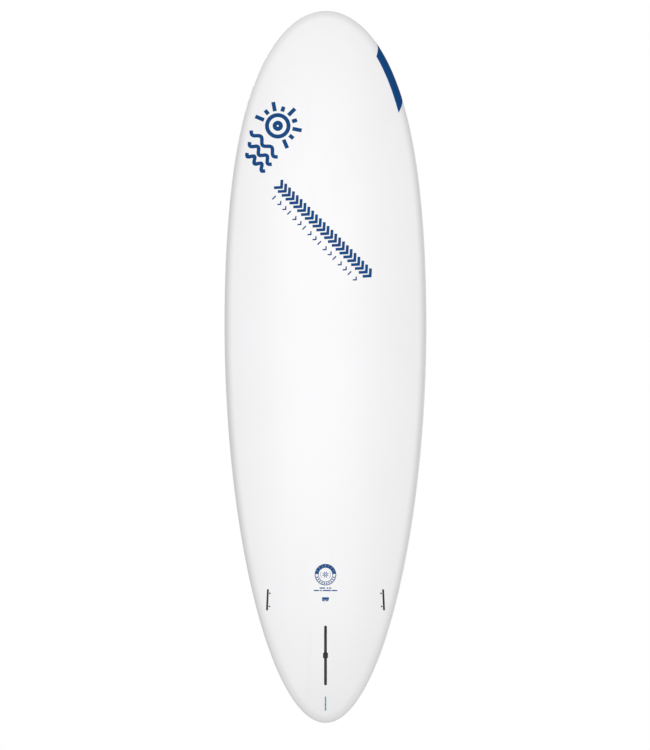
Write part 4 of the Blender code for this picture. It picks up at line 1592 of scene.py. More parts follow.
@dataclass
class LongFinBox:
    """The long box under the tail, with a notch half way for the plate."""

    form: HullForm
    y: float = 1.2348
    size: Pair = (0.254, 0.0096)
    notch: Pair = (0.024, 0.0190)
    lip: float = 0.0008

    @property
    def seat(self) -> Matrix:
        """The box's frame."""
        return self.form.seat(0, self.y, False)

    def skin_cutter(self) -> Piece:
        """The opening in the skin."""
        outline = slot(self.size, self.notch, grow=self.lip + GAP)
        return lofted("fin_box_opening", [level(outline, 0.02), level(outline, -0.02)], self.seat)

    def build(self) -> Piece:
        """The box, with its T-groove.

        Returns:
            The piece.
        """
        flange, trunk = slot((0.284, 0.036)), slot((0.270, 0.0255))
        mouth = partial(slot, self.size, self.notch, 0.0)
        groove = partial(slot, (self.size[0], 0.0164), self.notch, 0.0)
        floor = partial(slot, self.size, None, 0.0)
        rings = [level(trunk, -0.034), level(trunk, -0.0055), level(flange, -0.0055), level(flange, -0.0027)]
        rings += levels(mouth, (self.lip, -0.0026), (self.lip, -0.0003), (0.0006, -0.0001), (0.0003, 0.0))
        rings += levels(mouth, (0.0001, -0.0002), (0.0, -0.0006), (0.0, -0.0119))
        rings += levels(groove, (GAP, -0.0121), (GAP, -0.0175))
        rings += levels(floor, (0.0, -0.0176), (0.0, -0.0285), (-0.001, -0.029))
        return lofted("fin_box_moulding", rings, self.seat)

    def build_plate(self) -> Piece:
        """The square plate that a fin is screwed to, with eased edges and a threaded hole.

        Returns:
            The piece.
        """
        low, high = -0.0175 + GAP, -0.0175 + GAP + 0.0032
        outer = partial(rounded, 0.0186, 0.0156, 0.0012, steps=11)
        rings = levels(outer, (-0.0004, low), (0.0, low + 0.0004), (0.0, high - 0.0004), (-0.0004, high))
        rings += levels(
            circle, (0.0022, high), (0.0019, high - 0.0003), (0.0019, low + 0.0003), (0.0022, low)
        )
        return looped("fin_plate_block", rings, self.seat)

    def build_screw(self) -> Piece:
        """The fin screw: a low round head with a straight drive slot, and a threaded shank.

        Returns:
            The piece.
        """
        top, under = -0.0045, -0.0071
        drive = slit(0.0056, 0.0010)
        fine = partial(circle, steps=96)
        rings = [level(drive, top - 0.0013), level(drive, top)]
        rings += levels(fine, (0.0029, top), (0.0036, top - 0.0004), (0.0039, top - 0.0010), (0.0039, under))
        z = under
        while z > under - 0.0128:
            rings += levels(fine, (0.00165, z), (0.0019, z - 0.0002), (0.0019, z - 0.0003))
            rings += levels(fine, (0.00165, z - 0.0005))
            z -= 0.0007
        rings += levels(fine, (0.0013, z - 0.0006))
        return lofted("fin_screw_body_mesh", rings, self.seat)

    def install(self) -> None:
        """Builds and installs the box and its fastener."""
        installed(self.build(), Coat.BOX, "hull", "fin_box_plastic", "fin_box")
        installed(self.build_plate(), Coat.BLACK_STEEL, "fin_plate_body", "plate_steel", "fin_plate")
        installed(self.build_screw(), Coat.BLACK_STEEL, "fin_screw_body", "screw_steel", "fin_screw")


@dataclass
class SideFinBox:
    """A short box near one rail, toed in, with two grub screws on its inboard side."""

    form: HullForm
    side: int
    size: Pair = (0.090, 0.0066)
    lip: float = 0.0004
    spread: float = 0.0562
    offset: float = 0.0096
    lean: float = math.radians(30)
    inboard: float = 0.006

    @property
    def word(self) -> str:
        """Which side of the board it is on."""
        return "left" if self.side > 0 else "right"

    @property
    def seat(self) -> Matrix:
        """The box's frame."""
        return self.form.seat(self.side * 0.248, 0.9966, False, self.side * math.radians(2.6))

    def grub_seat(self, end: int) -> Matrix:
        """The frame of the front (-1) or rear (1) grub screw."""
        place = Matrix.Translation((self.side * self.offset, end * self.spread / 2, 0))
        return self.seat @ place @ Matrix.Rotation(self.side * self.lean, 4, "Y")

    def skin_cutters(self) -> list[Piece]:
        """The openings in the skin.

        Returns:
            The solids of the openings.
        """
        outline = slot(self.size, grow=self.lip + GAP)
        rings = [level(outline, 0.02), level(outline, -0.02)]
        cutters = [lofted(f"side_opening_{self.word}", rings, self.seat)]
        for end in (-1, 1):
            rings = [level(circle(0.0034, 32), z) for z in (0.02, -0.006)]
            cutters.append(lofted(f"grub_opening_{self.word}_{end}", rings, self.grub_seat(end)))
        return cutters

    def build(self) -> Piece:
        """The box, bored for its grub screws.

        Returns:
            The piece.
        """
        shift = self.side * self.inboard
        rings = [level(slot((0.104, 0.022)), z, shift) for z in (-0.0205, -0.0050)]
        rings += [level(slot((0.112, 0.026)), z, shift) for z in (-0.0050, -0.0027)]
        mouth = partial(slot, self.size, None, 0.0)
        rings += levels(mouth, (self.lip, -0.0026), (self.lip, -0.0002), (0.00025, 0.0), (0.0, -0.0003))
        rings += levels(mouth, (0.0, -0.0160), (-0.0008, -0.0165))
        piece = lofted(f"side_fin_box_moulding_{self.word}", rings, self.seat)
        bores = []
        for end in (-1, 1):
            bore = [level(circle(0.0029, 32), z) for z in (0.02, -0.013)]
            bores.append(lofted(f"grub_bore_{self.word}_{end}", bore, self.grub_seat(end)))
        carve(piece, bores)
        crisp(piece.data)
        return piece

    def build_grub(self, end: int) -> Piece:
        """A grub screw with a hexagon socket, thread rings and a cone point.

        Args:
            end: -1 for the front one, 1 for the rear one.

        Returns:
            The piece.
        """
        top, tip = -0.002, -0.008
        rings = levels(circle, (0.0004, top - 0.0034))
        rings += levels(hexagon, (0.00135, top - 0.0028), (0.00135, top - 0.0001), (0.00145, top))
        rings += levels(circle, (0.0020, top), (0.0023, top - 0.0003))
        z = top - 0.0004
        while z > tip + 0.0012:
            rings += levels(circle, (0.00255, z - 0.0001), (0.00255, z - 0.0002), (0.0023, z - 0.0004))
            z -= 0.0005
        rings += levels(circle, (0.0020, tip + 0.0006), (0.0012, tip))
        place = "front" if end < 0 else "rear"
        return lofted(f"grub_{self.word}_{place}", rings, self.grub_seat(end))

    def install(self) -> None:
        """Builds and installs the box and its grub screws."""
        installed(self.build(), Coat.BOX, "hull", "side_box_plastic", f"side_fin_box_{self.word}")
        for end, place in ((-1, "front"), (1, "rear")):
            name = f"grub_screw_{self.word}_{place}"
            installed(self.build_grub(end), Coat.GRUB_STEEL, f"{name}_body", "screw_steel", name)


# ---------------------------------------------------------------- deck fittings


@dataclass
class MastTrack:
    """The slotted track in the deck and its sliding nut."""

    form: HullForm
    y: float = -0.29
    size: Pair = (0.250, 0.0098)
    notch: Pair = (0.026, 0.0224)
    notch_y: float = 0.100
    rise: float = 0.0022

    @property
    def seat(self) -> Matrix:
        """The track's frame."""
        return self.form.seat(0, self.y, True)

    def skin_cutter(self) -> Piece:
        """The opening in the skin."""
        outline = slot((0.272, 0.030), grow=GAP)
        return lofted("mast_track_opening", [level(outline, 0.02), level(outline, -0.03)], self.seat)

    def build(self) -> Piece:
        """The track, from its trunk over the plate and down into the slot.

        Returns:
            The piece.
        """
        trunk = partial(slot, (0.272, 0.030), (self.notch[0], 0.030), self.notch_y)
        plate = partial(slot, (0.292, 0.042), (self.notch[0], 0.042), self.notch_y)
        mouth = partial(slot, self.size, self.notch, self.notch_y)
        groove = partial(slot, (self.size[0], 0.0204), self.notch, self.notch_y)
        floor = partial(slot, self.size, (self.notch[0], self.size[1]), self.notch_y)
        top = GAP + self.rise
        rings = levels(trunk, (0.0, -0.034), (0.0, GAP))
        rings += levels(plate, (0.0, GAP), (0.0, top - 0.0012), (-0.0004, top - 0.0004), (-0.0013, top))
        rings += levels(
            plate, (-0.0050, top), (-0.0054, top - 0.0004), (-0.0060, top - 0.0004), (-0.0064, top)
        )
        rings += levels(mouth, (0.0008, top), (0.0002, top - 0.0003), (0.0, top - 0.0009), (0.0, -0.0069))
        rings += levels(groove, (GAP, -0.0071), (GAP, -0.0155))
        rings += levels(floor, (0.0, -0.0156), (0.0, -0.0275), (-0.0008, -0.028))
        return lofted("mast_track_moulding", rings, self.seat)

    def build_scale(self) -> Piece:
        """Position ticks beside the slot.

        Returns:
            The piece.
        """
        shape = bmesh.new()
        z = GAP + self.rise
        for k in range(-9, 8):
            long = k % 2 == 0
            low, high = 0.0085, 0.0140 if long else 0.0115
            middle, half = k * 0.0125, 0.0005
            near, far = middle - half, middle + half
            tick = [(low, near), (high, near), (high, far), (low, far)]
            loft_into(shape, [level(tick, z + 0.00012), level(tick, z - 0.0001)], self.seat)
        return linked("track_scale_print", mesh_of("track_scale_print", shape))

    def build_nut(self) -> Piece:
        """The T-shaped nut, with eased edges and a threaded hole.

        Returns:
            The piece.
        """
        low, shoulder, high = -0.0155 + GAP, -0.0076, -0.002
        foot = partial(rounded, 0.022, 0.0192, 0.002, steps=11)
        neck = partial(rounded, 0.018, 0.0088, 0.002, steps=11)
        rings = levels(neck, (-0.0005, high), (0.0, high - 0.0005), (0.0, shoulder))
        rings += levels(foot, (-0.0004, shoulder), (0.0, shoulder - 0.0004))
        rings += levels(foot, (0.0, low + 0.0004), (-0.0004, low))
        z = low
        while z < high - 0.0012:
            rings += levels(circle, (0.0034, z + 0.0001), (0.0034, z + 0.0003), (0.0030, z + 0.0007))
            z += 0.0010
        rings += levels(circle, (0.0037, high))
        return looped("mast_nut_block", rings, self.seat)

    def install(self) -> None:
        """Builds and installs the track, its scale and its nut."""
        installed(self.build(), Coat.TRACK, "hull", "track_plastic", "mast_track_box")
        installed(self.build_scale(), Coat.SCALE_INK, "hull", "track_plastic")
        installed(self.build_nut(), Coat.PLATE, "mast_nut_body", "plate_steel", "mast_nut")


@dataclass
class CarryHandle:
    """The sunk handle: a moulded cup and a rubber grip on two screws."""

    form: HullForm
    y: float = 0.115
    mouth: Place = (0.168, 0.098, 0.030)
    flange: Place = (0.202, 0.132, 0.044)
    floor: Place = (0.132, 0.064, 0.026)
    depth: float = 0.062
    wall: float = 0.0028
    grip_top: float = -0.004

    @property
    def seat(self) -> Matrix:
        """The handle's frame."""
        return self.form.seat(0, self.y, True)

    def skin_cutter(self) -> Piece:
        """The opening in the skin."""
        outline = rounded(*self.mouth, self.wall + GAP)
        return lofted("handle_opening", [level(outline, 0.02), level(outline, -0.03)], self.seat)

    def between(self, share: float, grow: float) -> Outline:
        """The cup's inside outline, from its mouth (0) to its floor (1)."""
        sizes = [top + (low - top) * share for top, low in zip(self.mouth, self.floor)]
        return rounded(*sizes, grow)

    def build_cup(self) -> Piece:
        """The cup, with a rounded rim and floor, and a ledge at each end.

        Returns:
            The piece.
        """
        top = GAP + 0.002
        flange = partial(rounded, *self.flange)
        rings = [level(self.between(1, self.wall - 0.004), -self.depth)]
        rings += [level(self.between(0.97, self.wall), -self.depth + 0.003)]
        rings += [level(self.between(0, self.wall), GAP)]
        rings += levels(flange, (0.0, GAP), (0.0, top - 0.0012), (-0.0004, top - 0.0004), (-0.0014, top))
        rings += levels(partial(rounded, *self.mouth), *fillet(0.0026, top - 0.0026, 0.0026, 90, 180, 5))
        run = self.depth - self.wall
        for k in range(1, 9):
            rings.append(level(self.between(k / 8.6, 0.0), -run * k / 8.6))
        for k in range(1, 5):
            turn = math.pi / 2 * k / 4
            height = -run + 0.0045 * (1 - math.sin(turn))
            rings.append(level(self.between(1, -0.005 * (1 - math.cos(turn))), height))
        shape = bmesh.new()
        loft_into(shape, rings, self.seat)
        ledge_top = self.grip_top - 0.020 - GAP
        for end in (-1, 1):
            middle = end * (self.mouth[0] / 2 - 0.0185)
            profile = ((-0.0010, 0.0), (0.0, -0.0010), (0.0, -0.0128), (-0.0012, -0.014))
            ledge = levels(partial(rounded, 0.031, 0.040, 0.003, steps=5), *profile)
            loft_into(shape, ledge, self.seat @ Matrix.Translation((0, middle, ledge_top)))
        piece = linked("handle_cup_moulding", mesh_of("handle_cup_moulding", shape))
        crisp(piece.data, 36.0)
        return piece

    def grip_section(self, y: float) -> list[Pair]:
        """The grip's section at y, as points across it and up it.

        Args:
            y: the place along the grip.

        Returns:
            The section.
        """
        share = min(1.0, abs(y) / 0.0750)
        ridge = 0.0006 * math.cos(2 * math.pi * y / 0.018) if abs(y) < 0.046 else 0.0
        end = max(0.0, (abs(y) - 0.068) / 0.007)
        shrink = math.sqrt(max(0.0, 1 - min(1.0, end) ** 2 * 0.35))
        half_x = (0.0150 - 0.0022 * (1 - share**2)) * shrink + ridge
        low = -0.0200 + 0.0020 * (1 - share) - ridge
        middle = low / 2
        points = []
        for k in range(40):
            turn = 2 * math.pi * k / 40
            cos, sin = math.cos(turn), math.sin(turn)
            x = half_x * math.copysign(abs(cos) ** 0.62, cos)
            z = middle + abs(low) / 2 * shrink * math.copysign(abs(sin) ** 0.62, sin)
            points.append((x, self.grip_top + z))
        return points

    def build_grip(self) -> Piece:
        """The grip, ribbed under the fingers, with a countersunk seat for each screw.

        Returns:
            The piece.
        """
        ys = [-0.0750 + 0.150 * k / 100 for k in range(101)]
        rings = [[(x, y, z) for x, z in self.grip_section(y)] for y in ys]
        piece = lofted("handle_grip_moulding", rings, self.seat, 40.0)
        seats = []
        for end in (-1, 1):
            place = self.seat @ Matrix.Translation((0, end * (self.mouth[0] / 2 - 0.020), 0))
            sink = self.grip_top - 0.0055
            profile = [(0.0045, 0.01), (0.0045, sink + 0.0005)]
            profile += [(0.0024, sink - 0.0018), (0.0024, self.grip_top - 0.03)]
            seats.append(turned(f"grip_bore_{end}", profile, place, 32))
        carve(piece, seats)
        crisp(piece.data, 40.0)
        return piece

    def build_screw(self, end: int, word: str) -> Piece:
        """A countersunk screw with a hexagon socket.

        Args:
            end: -1 for the front one, 1 for the rear one.
            word: its place.

        Returns:
            The piece.
        """
        place = self.seat @ Matrix.Translation((0, end * (self.mouth[0] / 2 - 0.020), 0))
        head, sink = self.grip_top - 0.002, self.grip_top - 0.0055
        ledge = self.grip_top - 0.020 - GAP
        rings = levels(circle, (0.0005, head - 0.0029))
        rings += levels(hexagon, (0.0015, head - 0.0024), (0.0015, head - 0.0002), (0.0017, head))
        rings += levels(circle, (0.0034, head), (0.0039, head - 0.0003), (0.0040, head - 0.0006))
        rings += levels(circle, (0.0040, sink + 0.001), (0.0020, sink - 0.0012))
        rings += levels(circle, (0.0020, ledge - 0.010), (0.0006, ledge - 0.0115))
        return lofted(f"handle_bolt_{word}", rings, place)

    def install(self) -> None:
        """Builds and installs the handle."""
        installed(self.build_cup(), Coat.CUP, "hull", "cup_plastic", "handle_cup")
        installed(self.build_grip(), Coat.GRIP, "hull", "grip_rubber", "handle_grip")
        for end, word in ((-1, "front"), (1, "rear")):
            installed(self.build_screw(end, word), Coat.STEEL, "hull", "screw_steel", f"handle_screw_{word}")


@dataclass
class AirVent:
    """The vent ahead of the pads: a cup, a sealing ring and a screw plug with a coin slot."""

    form: HullForm
    x: float = 0.062
    y: float = -0.83

    @property
    def seat(self) -> Matrix:
        """The vent's frame."""
        return self.form.seat(self.x, self.y, True, drop=self.form.crown_drop(self.x, self.y))

    def skin_cutter(self) -> Piece:
        """The opening in the skin."""
        return turned("vent_opening", ((0.0153, 0.02), (0.0153, -0.02)), self.seat)

    def build_cup(self) -> Piece:
        """The cup, with a chamfered rim and a stepped bore.

        Returns:
            The piece.
        """
        rim = GAP + 0.0012
        profile = [(0.0115, -0.024), (0.0115, -0.007), (0.0150, -0.007), (0.0150, GAP), (0.0170, GAP)]
        profile += [(0.0170, rim - 0.0007), (0.0167, rim - 0.0002), (0.0162, rim), (0.0134, rim)]
        profile += [(0.0131, rim - 0.0002), (0.0130, rim - 0.0006), (0.0130, -0.0042), (0.0078, -0.0042)]
        profile += [(0.0074, -0.0046), (0.0074, -0.019), (0.003, -0.019), (0.003, -0.0235)]
        return turned("vent_cup_moulding", profile, self.seat, 64)

    def build_seal(self) -> Piece:
        """The round sealing ring.

        Returns:
            The piece.
        """
        middle, thick, height = 0.0092, 0.0009, -0.0042 + GAP + 0.0009
        rings = []
        for k in range(64):
            turn = 2 * math.pi * k / 64
            section = [(middle + x, height + z) for x, z in circle(thick, 16)]
            rings.append([(reach * math.cos(turn), reach * math.sin(turn), z) for reach, z in section])
        return looped("vent_ring", rings, self.seat, 180.0)

    def build_plug(self) -> Piece:
        """The plug, its head fluted for fingers and slotted for a coin.

        Returns:
            The piece.
        """
        under = -0.0042 + 2 * GAP + 0.0018
        coin = slit(0.0170, 0.0022)
        head = star(lambda turn: 0.0118 - 0.00035 * (0.5 + 0.5 * math.cos(24 * turn)))
        fine = partial(circle, steps=96)
        rings = [level(slit(0.0166, 0.0016), -0.0015), level(coin, -0.0012), level(coin, 0.0003)]
        rings += [level(slit(0.0176, 0.0028), 0.0006), *levels(fine, (0.0100, 0.0006), (0.0110, 0.0003))]
        rings += [level(head, -0.0003), level(head, under), *levels(fine, (0.0068, under))]
        z = under - 0.0002
        while z > -0.0150:
            rings += levels(fine, (0.0070, z - 0.0002), (0.0070, z - 0.0005))
            rings += levels(fine, (0.0066, z - 0.0009), (0.0066, z - 0.0012))
            z -= 0.0015
        rings += levels(fine, (0.0060, -0.0165))
        return lofted("vent_plug_moulding", rings, self.seat)

    def install(self) -> None:
        """Builds and installs the vent."""
        installed(self.build_cup(), Coat.FITTING, "hull", "fitting_plastic", "vent_cup")
        installed(self.build_seal(), Coat.SEAL, "vent_seal_body", "seal_rubber", "vent_seal")
        installed(self.build_plug(), Coat.PLUG, "vent_plug_body", "plug_plastic", "vent_plug")


@dataclass
class LeashPlug:
    """The cup and pin on the tail that a leash is tied to."""

    form: HullForm
    y: float = 1.43

    @property
    def seat(self) -> Matrix:
        """The plug's frame."""
        return self.form.seat(0, self.y, True)

    def skin_cutter(self) -> Piece:
        """The opening in the skin."""
        return turned("leash_opening", ((0.0171, 0.02), (0.0171, -0.02)), self.seat)

    def build_cup(self) -> Piece:
        """The cup, with a rounded rim and bowl.

        Returns:
            The piece.
        """
        rim = GAP + 0.0014
        profile = [(0.0150, -0.021), (0.0168, -0.0200), (0.0168, GAP), (0.0190, GAP)]
        profile += [(0.0190, rim - 0.0008), (0.0187, rim - 0.0002), (0.0181, rim)]
        profile += fillet(0.0157, rim - 0.0012, 0.0012, 90, 180, 4)
        profile += [(0.0145, -0.008), (0.0140, -0.0112), (0.0125, -0.0145)]
        profile += [(0.0100, -0.0168), (0.0070, -0.0178), (0.0030, -0.0180)]
        return turned("leash_cup_moulding", profile, self.seat, 64)

    def build_pin(self) -> Piece:
        """The pin across the cup.

        Returns:
            The piece.
        """
        across = self.seat @ Matrix.Translation((0, 0, -0.0065)) @ Matrix.Rotation(math.pi / 2, 4, "Y")
        profile = (
            (0.0021, -0.0164),
            (0.0025, -0.0160),
            (0.0025, -0.0001),
            (0.0025, 0.0160),
            (0.0021, 0.0164),
        )
        return turned("leash_pin_rod", profile, across, 32)

    def install(self) -> None:
        """Builds and installs the plug."""
        installed(self.build_cup(), Coat.FITTING, "hull", "fitting_plastic", "leash_cup")
        installed(self.build_pin(), Coat.PIN, "hull", "pin_steel", "leash_pin")


# ---------------------------------------------------------------- deck pads


@dataclass
class DeckPad:
    """A sheet of grip foam that follows the deck, with grooves that run along the board.

    It lies between the same stations as its node. A side of 0 spans the deck, and 1 or -1 is the left or
    the right pad beside the mast track's lane.
    """

    node: str
    form: HullForm
    surface: FairSurface
    grooves: int = 26
    side: int = 0
    thick: float = 0.005
    margin: float = 0.095
    corner: float = 0.030
    inner_corner: float = 0.010
    groove: float = 0.0016
    depth: float = 0.0016

    def __post_init__(self) -> None:
        """Reads where the node starts and ends."""
        low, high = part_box(self.node)
        self.front, self.back = low[1], high[1]
        self.inner = min(abs(low[0]), abs(high[0]))

    @staticmethod
    def rounding(radius: float, reach: float) -> float:
        """How far a round corner draws an edge in, at a distance from the end.

        Args:
            radius: the corner's radius.
            reach: the distance from the end.

        Returns:
            How far it is drawn in.
        """
        if reach >= radius:
            return 0.0
        return radius - math.sqrt(max(0.0, radius**2 - (radius - reach) ** 2))

    def edges(self, y: float) -> Pair:
        """The pad's edges at y, with round corners.

        Args:
            y: the place along the board.

        Returns:
            The lower and the higher edge.
        """
        reach = min(y - self.front, self.back - y)
        outer = self.form.half_width(y) - self.margin - self.rounding(self.corner, reach)
        if not self.side:
            return -outer, outer
        inner = self.inner + self.rounding(self.inner_corner, reach)
        return (inner, outer) if self.side > 0 else (-outer, -inner)

    def stations(self) -> list[float]:
        """Places along the pad, closer together in its corners.

        Returns:
            The places, from front to back.
        """
        turns = [self.corner * (1 - math.cos(math.pi / 2 * k / 10)) for k in range(11)]
        steps = max(12, round((self.back - self.front) / 0.011))
        length = self.back - self.front - 2 * self.corner
        middle = [self.front + self.corner + length * k / steps for k in range(1, steps)]
        return [self.front + turn for turn in turns] + middle + [self.back - turn for turn in reversed(turns)]

    def height(self, y: float) -> float:
        """The pad's thickness at y."""
        return self.thick

    def columns(self) -> list[Place]:
        """Places across the pad: share of its width, offset, and depth as a share or, if negative, a size.

        Returns:
            The places, from one edge to the other.
        """
        places = [(0.0, 0.0, 1.0), (0.0, 0.0002, 0.35), (0.0, 0.0014, 0.0), (0.0, 0.006, 0.0)]
        wide, narrow = self.groove, self.groove * 0.45
        profile = ((-wide, 0.0), (-narrow, -self.depth), (narrow, -self.depth), (wide, 0.0))
        for k in range(1, self.grooves):
            places += [(k / self.grooves, offset, drop) for offset, drop in profile]
        return places + [(1.0, -0.006, 0.0), (1.0, -0.0014, 0.0), (1.0, -0.0002, 0.35), (1.0, 0.0, 1.0)]

    def top_row(self, y: float, sink: float) -> list[Vector]:
        """The points across the pad's top at y, lowered by a share of its thickness.

        Args:
            y: the place along the board.
            sink: the share of its thickness.

        Returns:
            The points.
        """
        low, high = self.edges(y)
        thick = self.height(y)
        fade = min(1.0, max(0.0, (min(y - self.front, self.back - y) - 0.012) / 0.006))
        row = []
        for share, offset, drop in self.columns():
            depth = thick * drop if drop >= 0 else -drop * fade
            lift = max(GAP, GAP + thick - depth - sink * thick)
            row.append(self.surface.over(low + (high - low) * share + offset, y, lift))
        return row

    @staticmethod
    def rim(grid: Sequence[list[bmesh.types.BMVert]]) -> list[bmesh.types.BMVert]:
        """The vertices round the edge of a grid, in order."""
        inner = grid[1:-1]
        return grid[0] + [row[-1] for row in inner] + grid[-1][::-1] + [row[0] for row in reversed(inner)]

    def build(self, cutters: Sequence[Piece] = ()) -> Piece:
        """The pad.

        Args:
            cutters: the solids of its openings.

        Returns:
            The pad, on the deck.
        """
        ys = self.stations()
        edge = ((0.0, 1.0), (0.0002, 0.35), (0.0014, 0.0))
        rows = [self.top_row(ys[0] + inset, sink) for inset, sink in edge]
        rows += [self.top_row(y, 0.0) for y in ys[2:-2]]
        rows += [self.top_row(ys[-1] - inset, sink) for inset, sink in reversed(edge)]
        shape = bmesh.new()
        top = [[shape.verts.new(point) for point in row] for row in rows]
        base = []
        for row in top:
            places = [self.surface.over(vertex.co.x, vertex.co.y, GAP * 0.6) for vertex in row]
            base.append([shape.verts.new(place) for place in places])
        quads(shape, top)
        quads(shape, base)
        band(shape, [self.rim(top), self.rim(base)])
        bmesh.ops.recalc_face_normals(shape, faces=shape.faces)
        piece = linked(f"{self.node}_foam", mesh_of(f"{self.node}_foam", shape))
        if cutters:
            carve(piece, cutters)
        crisp(piece.data, 30.0)
        return piece

    def install(self, coat: Coat, slot_name: str, cutters: Sequence[Piece] = ()) -> None:
        """Builds and installs the pad."""
        installed(self.build(cutters), coat, "hull", slot_name, self.node)


@dataclass
class KickPad(DeckPad):
    """The raised pad at the tail, a ramp that a heel stops against."""

    rise: float = 0.0205

    def height(self, y: float) -> float:
        """The ramp's thickness at y.

        Args:
            y: the place along the board.

        Returns:
            The thickness.
        """
        share = (y - self.front) / (self.back - self.front)
        climb = 0.5 - 0.5 * math.cos(math.pi * min(1.0, share / 0.62))
        fall = 0.0 if share < 0.80 else 0.5 - 0.5 * math.cos(math.pi * (share - 0.80) / 0.20)
        return self.thick + (self.rise - self.thick) * climb * (1 - 0.45 * fall)


# ---------------------------------------------------------------- studio


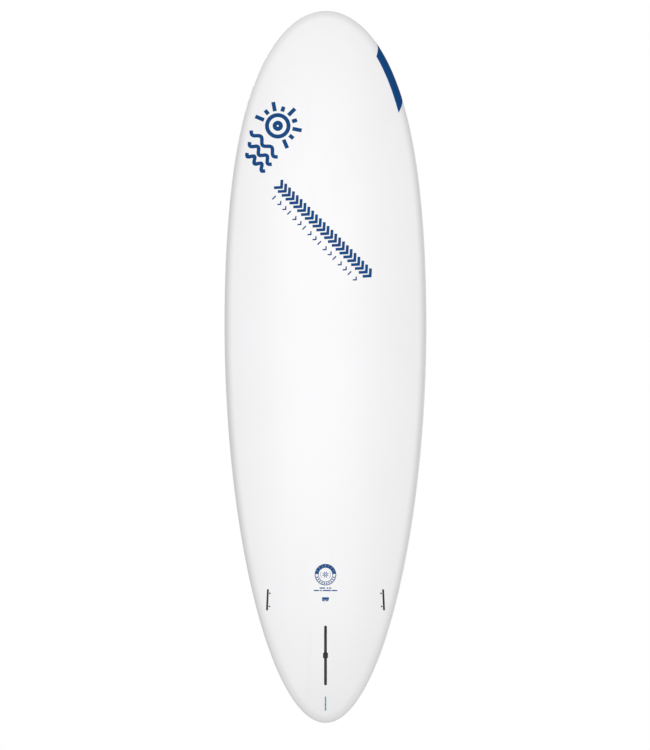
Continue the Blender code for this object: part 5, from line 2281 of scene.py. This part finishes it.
@dataclass
class Studio:
    """A plain pale floor, soft light from above and below, and a camera under the board."""

    aim: Place = (-0.0022, 0.0365, 0.03)
    distance: float = 35.6
    lens: float = 400.0
    floor_size: float = 900.0
    sky_horizon: float = 0.505
    sky_gain: float = 0.22
    sky_power: float = 1.5
    strip_power: float = 11.4
    strip_place: Place = (-0.04, -0.48, -1.1)
    strip_size: Pair = (0.4, 4.3)

    def build_floor(self) -> None:
        """The floor, which can be seen from above only."""
        shape = bmesh.new()
        place = Matrix.Translation((0, 0, -0.0016))
        bmesh.ops.create_grid(shape, x_segments=8, y_segments=8, size=self.floor_size / 2, matrix=place)
        floor = linked("studio_floor", mesh_of("studio_floor", shape))
        material = bpy.data.materials.new("studio_floor")
        material.use_nodes = True
        wiring = Wiring(material.node_tree)
        surface = material.node_tree.nodes["Principled BSDF"]
        patch = wiring.noise(wiring.place(), 0.8, 3.0)
        tone = wiring.blend(wiring.ramp(patch, 0.3, 0.7), (0.80, 0.80, 0.81, 1.0), (0.83, 0.83, 0.84, 1.0))
        wiring.feed(surface, "Base Color", tone)
        wiring.feed(surface, "Roughness", 0.85)
        wiring.feed(surface, "Specular IOR Level", 0.15)
        clear = wiring.node("BsdfTransparent")
        mix = wiring.node("MixShader")
        out = material.node_tree.nodes["Material Output"]
        links = material.node_tree.links
        links.new(wiring.node("NewGeometry").outputs["Backfacing"], mix.inputs[0])
        links.new(surface.outputs[0], mix.inputs[1])
        links.new(clear.outputs[0], mix.inputs[2])
        links.new(mix.outputs[0], out.inputs["Surface"])
        floor.data.materials.append(material)
        floor.visible_shadow = False
        floor.visible_diffuse = False
        floor.visible_glossy = False
        floor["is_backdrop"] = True

    def build_world(self) -> None:
        """White behind the board, and a dimmer even light on it."""
        world = bpy.data.worlds.new("studio")
        world.use_nodes = True
        bpy.context.scene.world = world
        wiring = Wiring(world.node_tree)
        nodes, links = world.node_tree.nodes, world.node_tree.links
        seen = nodes["Background"]
        seen.inputs["Color"].default_value = (1, 1, 1, 1)
        seen.inputs["Strength"].default_value = 1.0
        height = wiring.node("SeparateXYZ", Vector=wiring.node("TexCoord").outputs["Generated"]).outputs["Z"]
        rise = wiring.math("POWER", wiring.math("ABSOLUTE", height), self.sky_power)
        strength = wiring.math("ADD", wiring.math("MULTIPLY", rise, self.sky_gain), self.sky_horizon)
        lit = wiring.node("Background", Color=(1.0, 0.995, 1.0, 1), Strength=strength)
        mix = wiring.node("MixShader")
        links.new(wiring.node("LightPath").outputs["Is Camera Ray"], mix.inputs[0])
        links.new(lit.outputs[0], mix.inputs[1])
        links.new(seen.outputs[0], mix.inputs[2])
        links.new(mix.outputs[0], nodes["World Output"].inputs["Surface"])

    def build_strip(self) -> None:
        """The long soft light under the board, which shines straight up."""
        data = bpy.data.lights.new("strip_below", "AREA")
        data.shape = "RECTANGLE"
        data.size, data.size_y = self.strip_size
        data.energy = self.strip_power
        lamp = bpy.data.objects.new("strip_below", data)
        lamp.location = self.strip_place
        lamp.rotation_euler = (math.pi, 0.0, 0.0)
        lamp.visible_camera = False
        bpy.context.scene.collection.objects.link(lamp)

    def sun(self, name: str, direction: Sequence[float], strength: float, spread: float) -> None:
        """Adds a soft distant light that shines along a direction.

        Args:
            name: its name.
            direction: where the light goes.
            strength: its strength.
            spread: its angle, in degrees.
        """
        data = bpy.data.lights.new(name, "SUN")
        data.energy = strength
        data.angle = math.radians(spread)
        lamp = bpy.data.objects.new(name, data)
        lamp.rotation_euler = Vector(direction).to_track_quat("-Z", "Y").to_euler()
        bpy.context.scene.collection.objects.link(lamp)

    def build_lights(self) -> None:
        """The strip below, and two soft lights above."""
        self.build_strip()
        self.sun("top_key", (0.35, 0.45, -0.82), 0.9, 35.0)
        self.sun("top_fill", (-0.55, -0.25, -0.80), 0.35, 60.0)

    def build_camera(self) -> None:
        """The camera under the board, with the nose at the top of the picture."""
        data = bpy.data.cameras.new("camera")
        data.lens = self.lens
        data.sensor_width = 36.0
        data.clip_end = 2000.0
        camera = bpy.data.objects.new("camera", data)
        back, up = Vector((0, 0, -1)), Vector((0, -1, 0))
        turn = Matrix((up.cross(back), up, back)).transposed().to_4x4()
        camera.matrix_world = Matrix.Translation(Vector(self.aim) + back * self.distance) @ turn
        bpy.context.scene.collection.objects.link(camera)
        bpy.context.scene.camera = camera

    def build(self) -> None:
        """Builds the studio."""
        self.build_camera()
        self.build_floor()
        self.build_world()
        self.build_lights()
        view = bpy.context.scene.view_settings
        view.view_transform = "Standard"
        view.look = "None"
        LOG.info("studio: floor, world, three lights and the camera")


def corners() -> list[list[float]]:
    """The whole object's lowest and highest corners, as plain lists."""
    return [[float(value) for value in corner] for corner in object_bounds()]


def main() -> None:
    """Builds the board and the studio."""
    logging.basicConfig(level=logging.INFO, format="%(message)s")
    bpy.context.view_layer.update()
    Studio().build()
    hull = Hull()
    form = hull.form
    long_box = LongFinBox(form)
    side_boxes = [SideFinBox(form, side) for side in (1, -1)]
    track, handle, vent, leash = MastTrack(form), CarryHandle(form), AirVent(form), LeashPlug(form)
    below = [long_box.skin_cutter(), *(cutter for box in side_boxes for cutter in box.skin_cutters())]
    installed(hull.build_skin(hull.bottom, below), Coat.BOTTOM, "hull", "bottom_paint", "bottom_skin")
    above = [track.skin_cutter(), handle.skin_cutter(), vent.skin_cutter(), leash.skin_cutter()]
    installed(hull.build_skin(hull.deck, above), Coat.DECK, "hull", "deck_paint", "deck_skin")
    hull.dress_inside(frame["nodes"])
    BottomGraphics(hull.bottom).build()
    installed(RailFlash(form).build(), Coat.NAVY_INK, "hull", "bottom_paint")
    for fitting in (long_box, *side_boxes, track, handle, vent, leash):
        fitting.install()
    around_handle = rounded(*handle.flange, 0.004)
    room = [level(around_handle, 0.02), level(around_handle, -0.02)]
    handle_room = lofted("pad_handle_opening", room, handle.seat)
    DeckPad("pad_front", form, hull.deck).install(Coat.PAD, "pad_grey")
    for word, side in (("left", 1), ("right", -1)):
        DeckPad(f"pad_mast_{word}", form, hull.deck, grooves=12, side=side).install(Coat.PAD, "pad_grey")
    DeckPad("pad_centre", form, hull.deck).install(Coat.PAD, "pad_grey", [handle_room])
    DeckPad("pad_rear", form, hull.deck, grooves=20).install(Coat.PAD, "pad_grey")
    KickPad("pad_kick", form, hull.deck, grooves=8).install(Coat.KICK, "pad_navy")


if __name__ == "__main__":
    main()
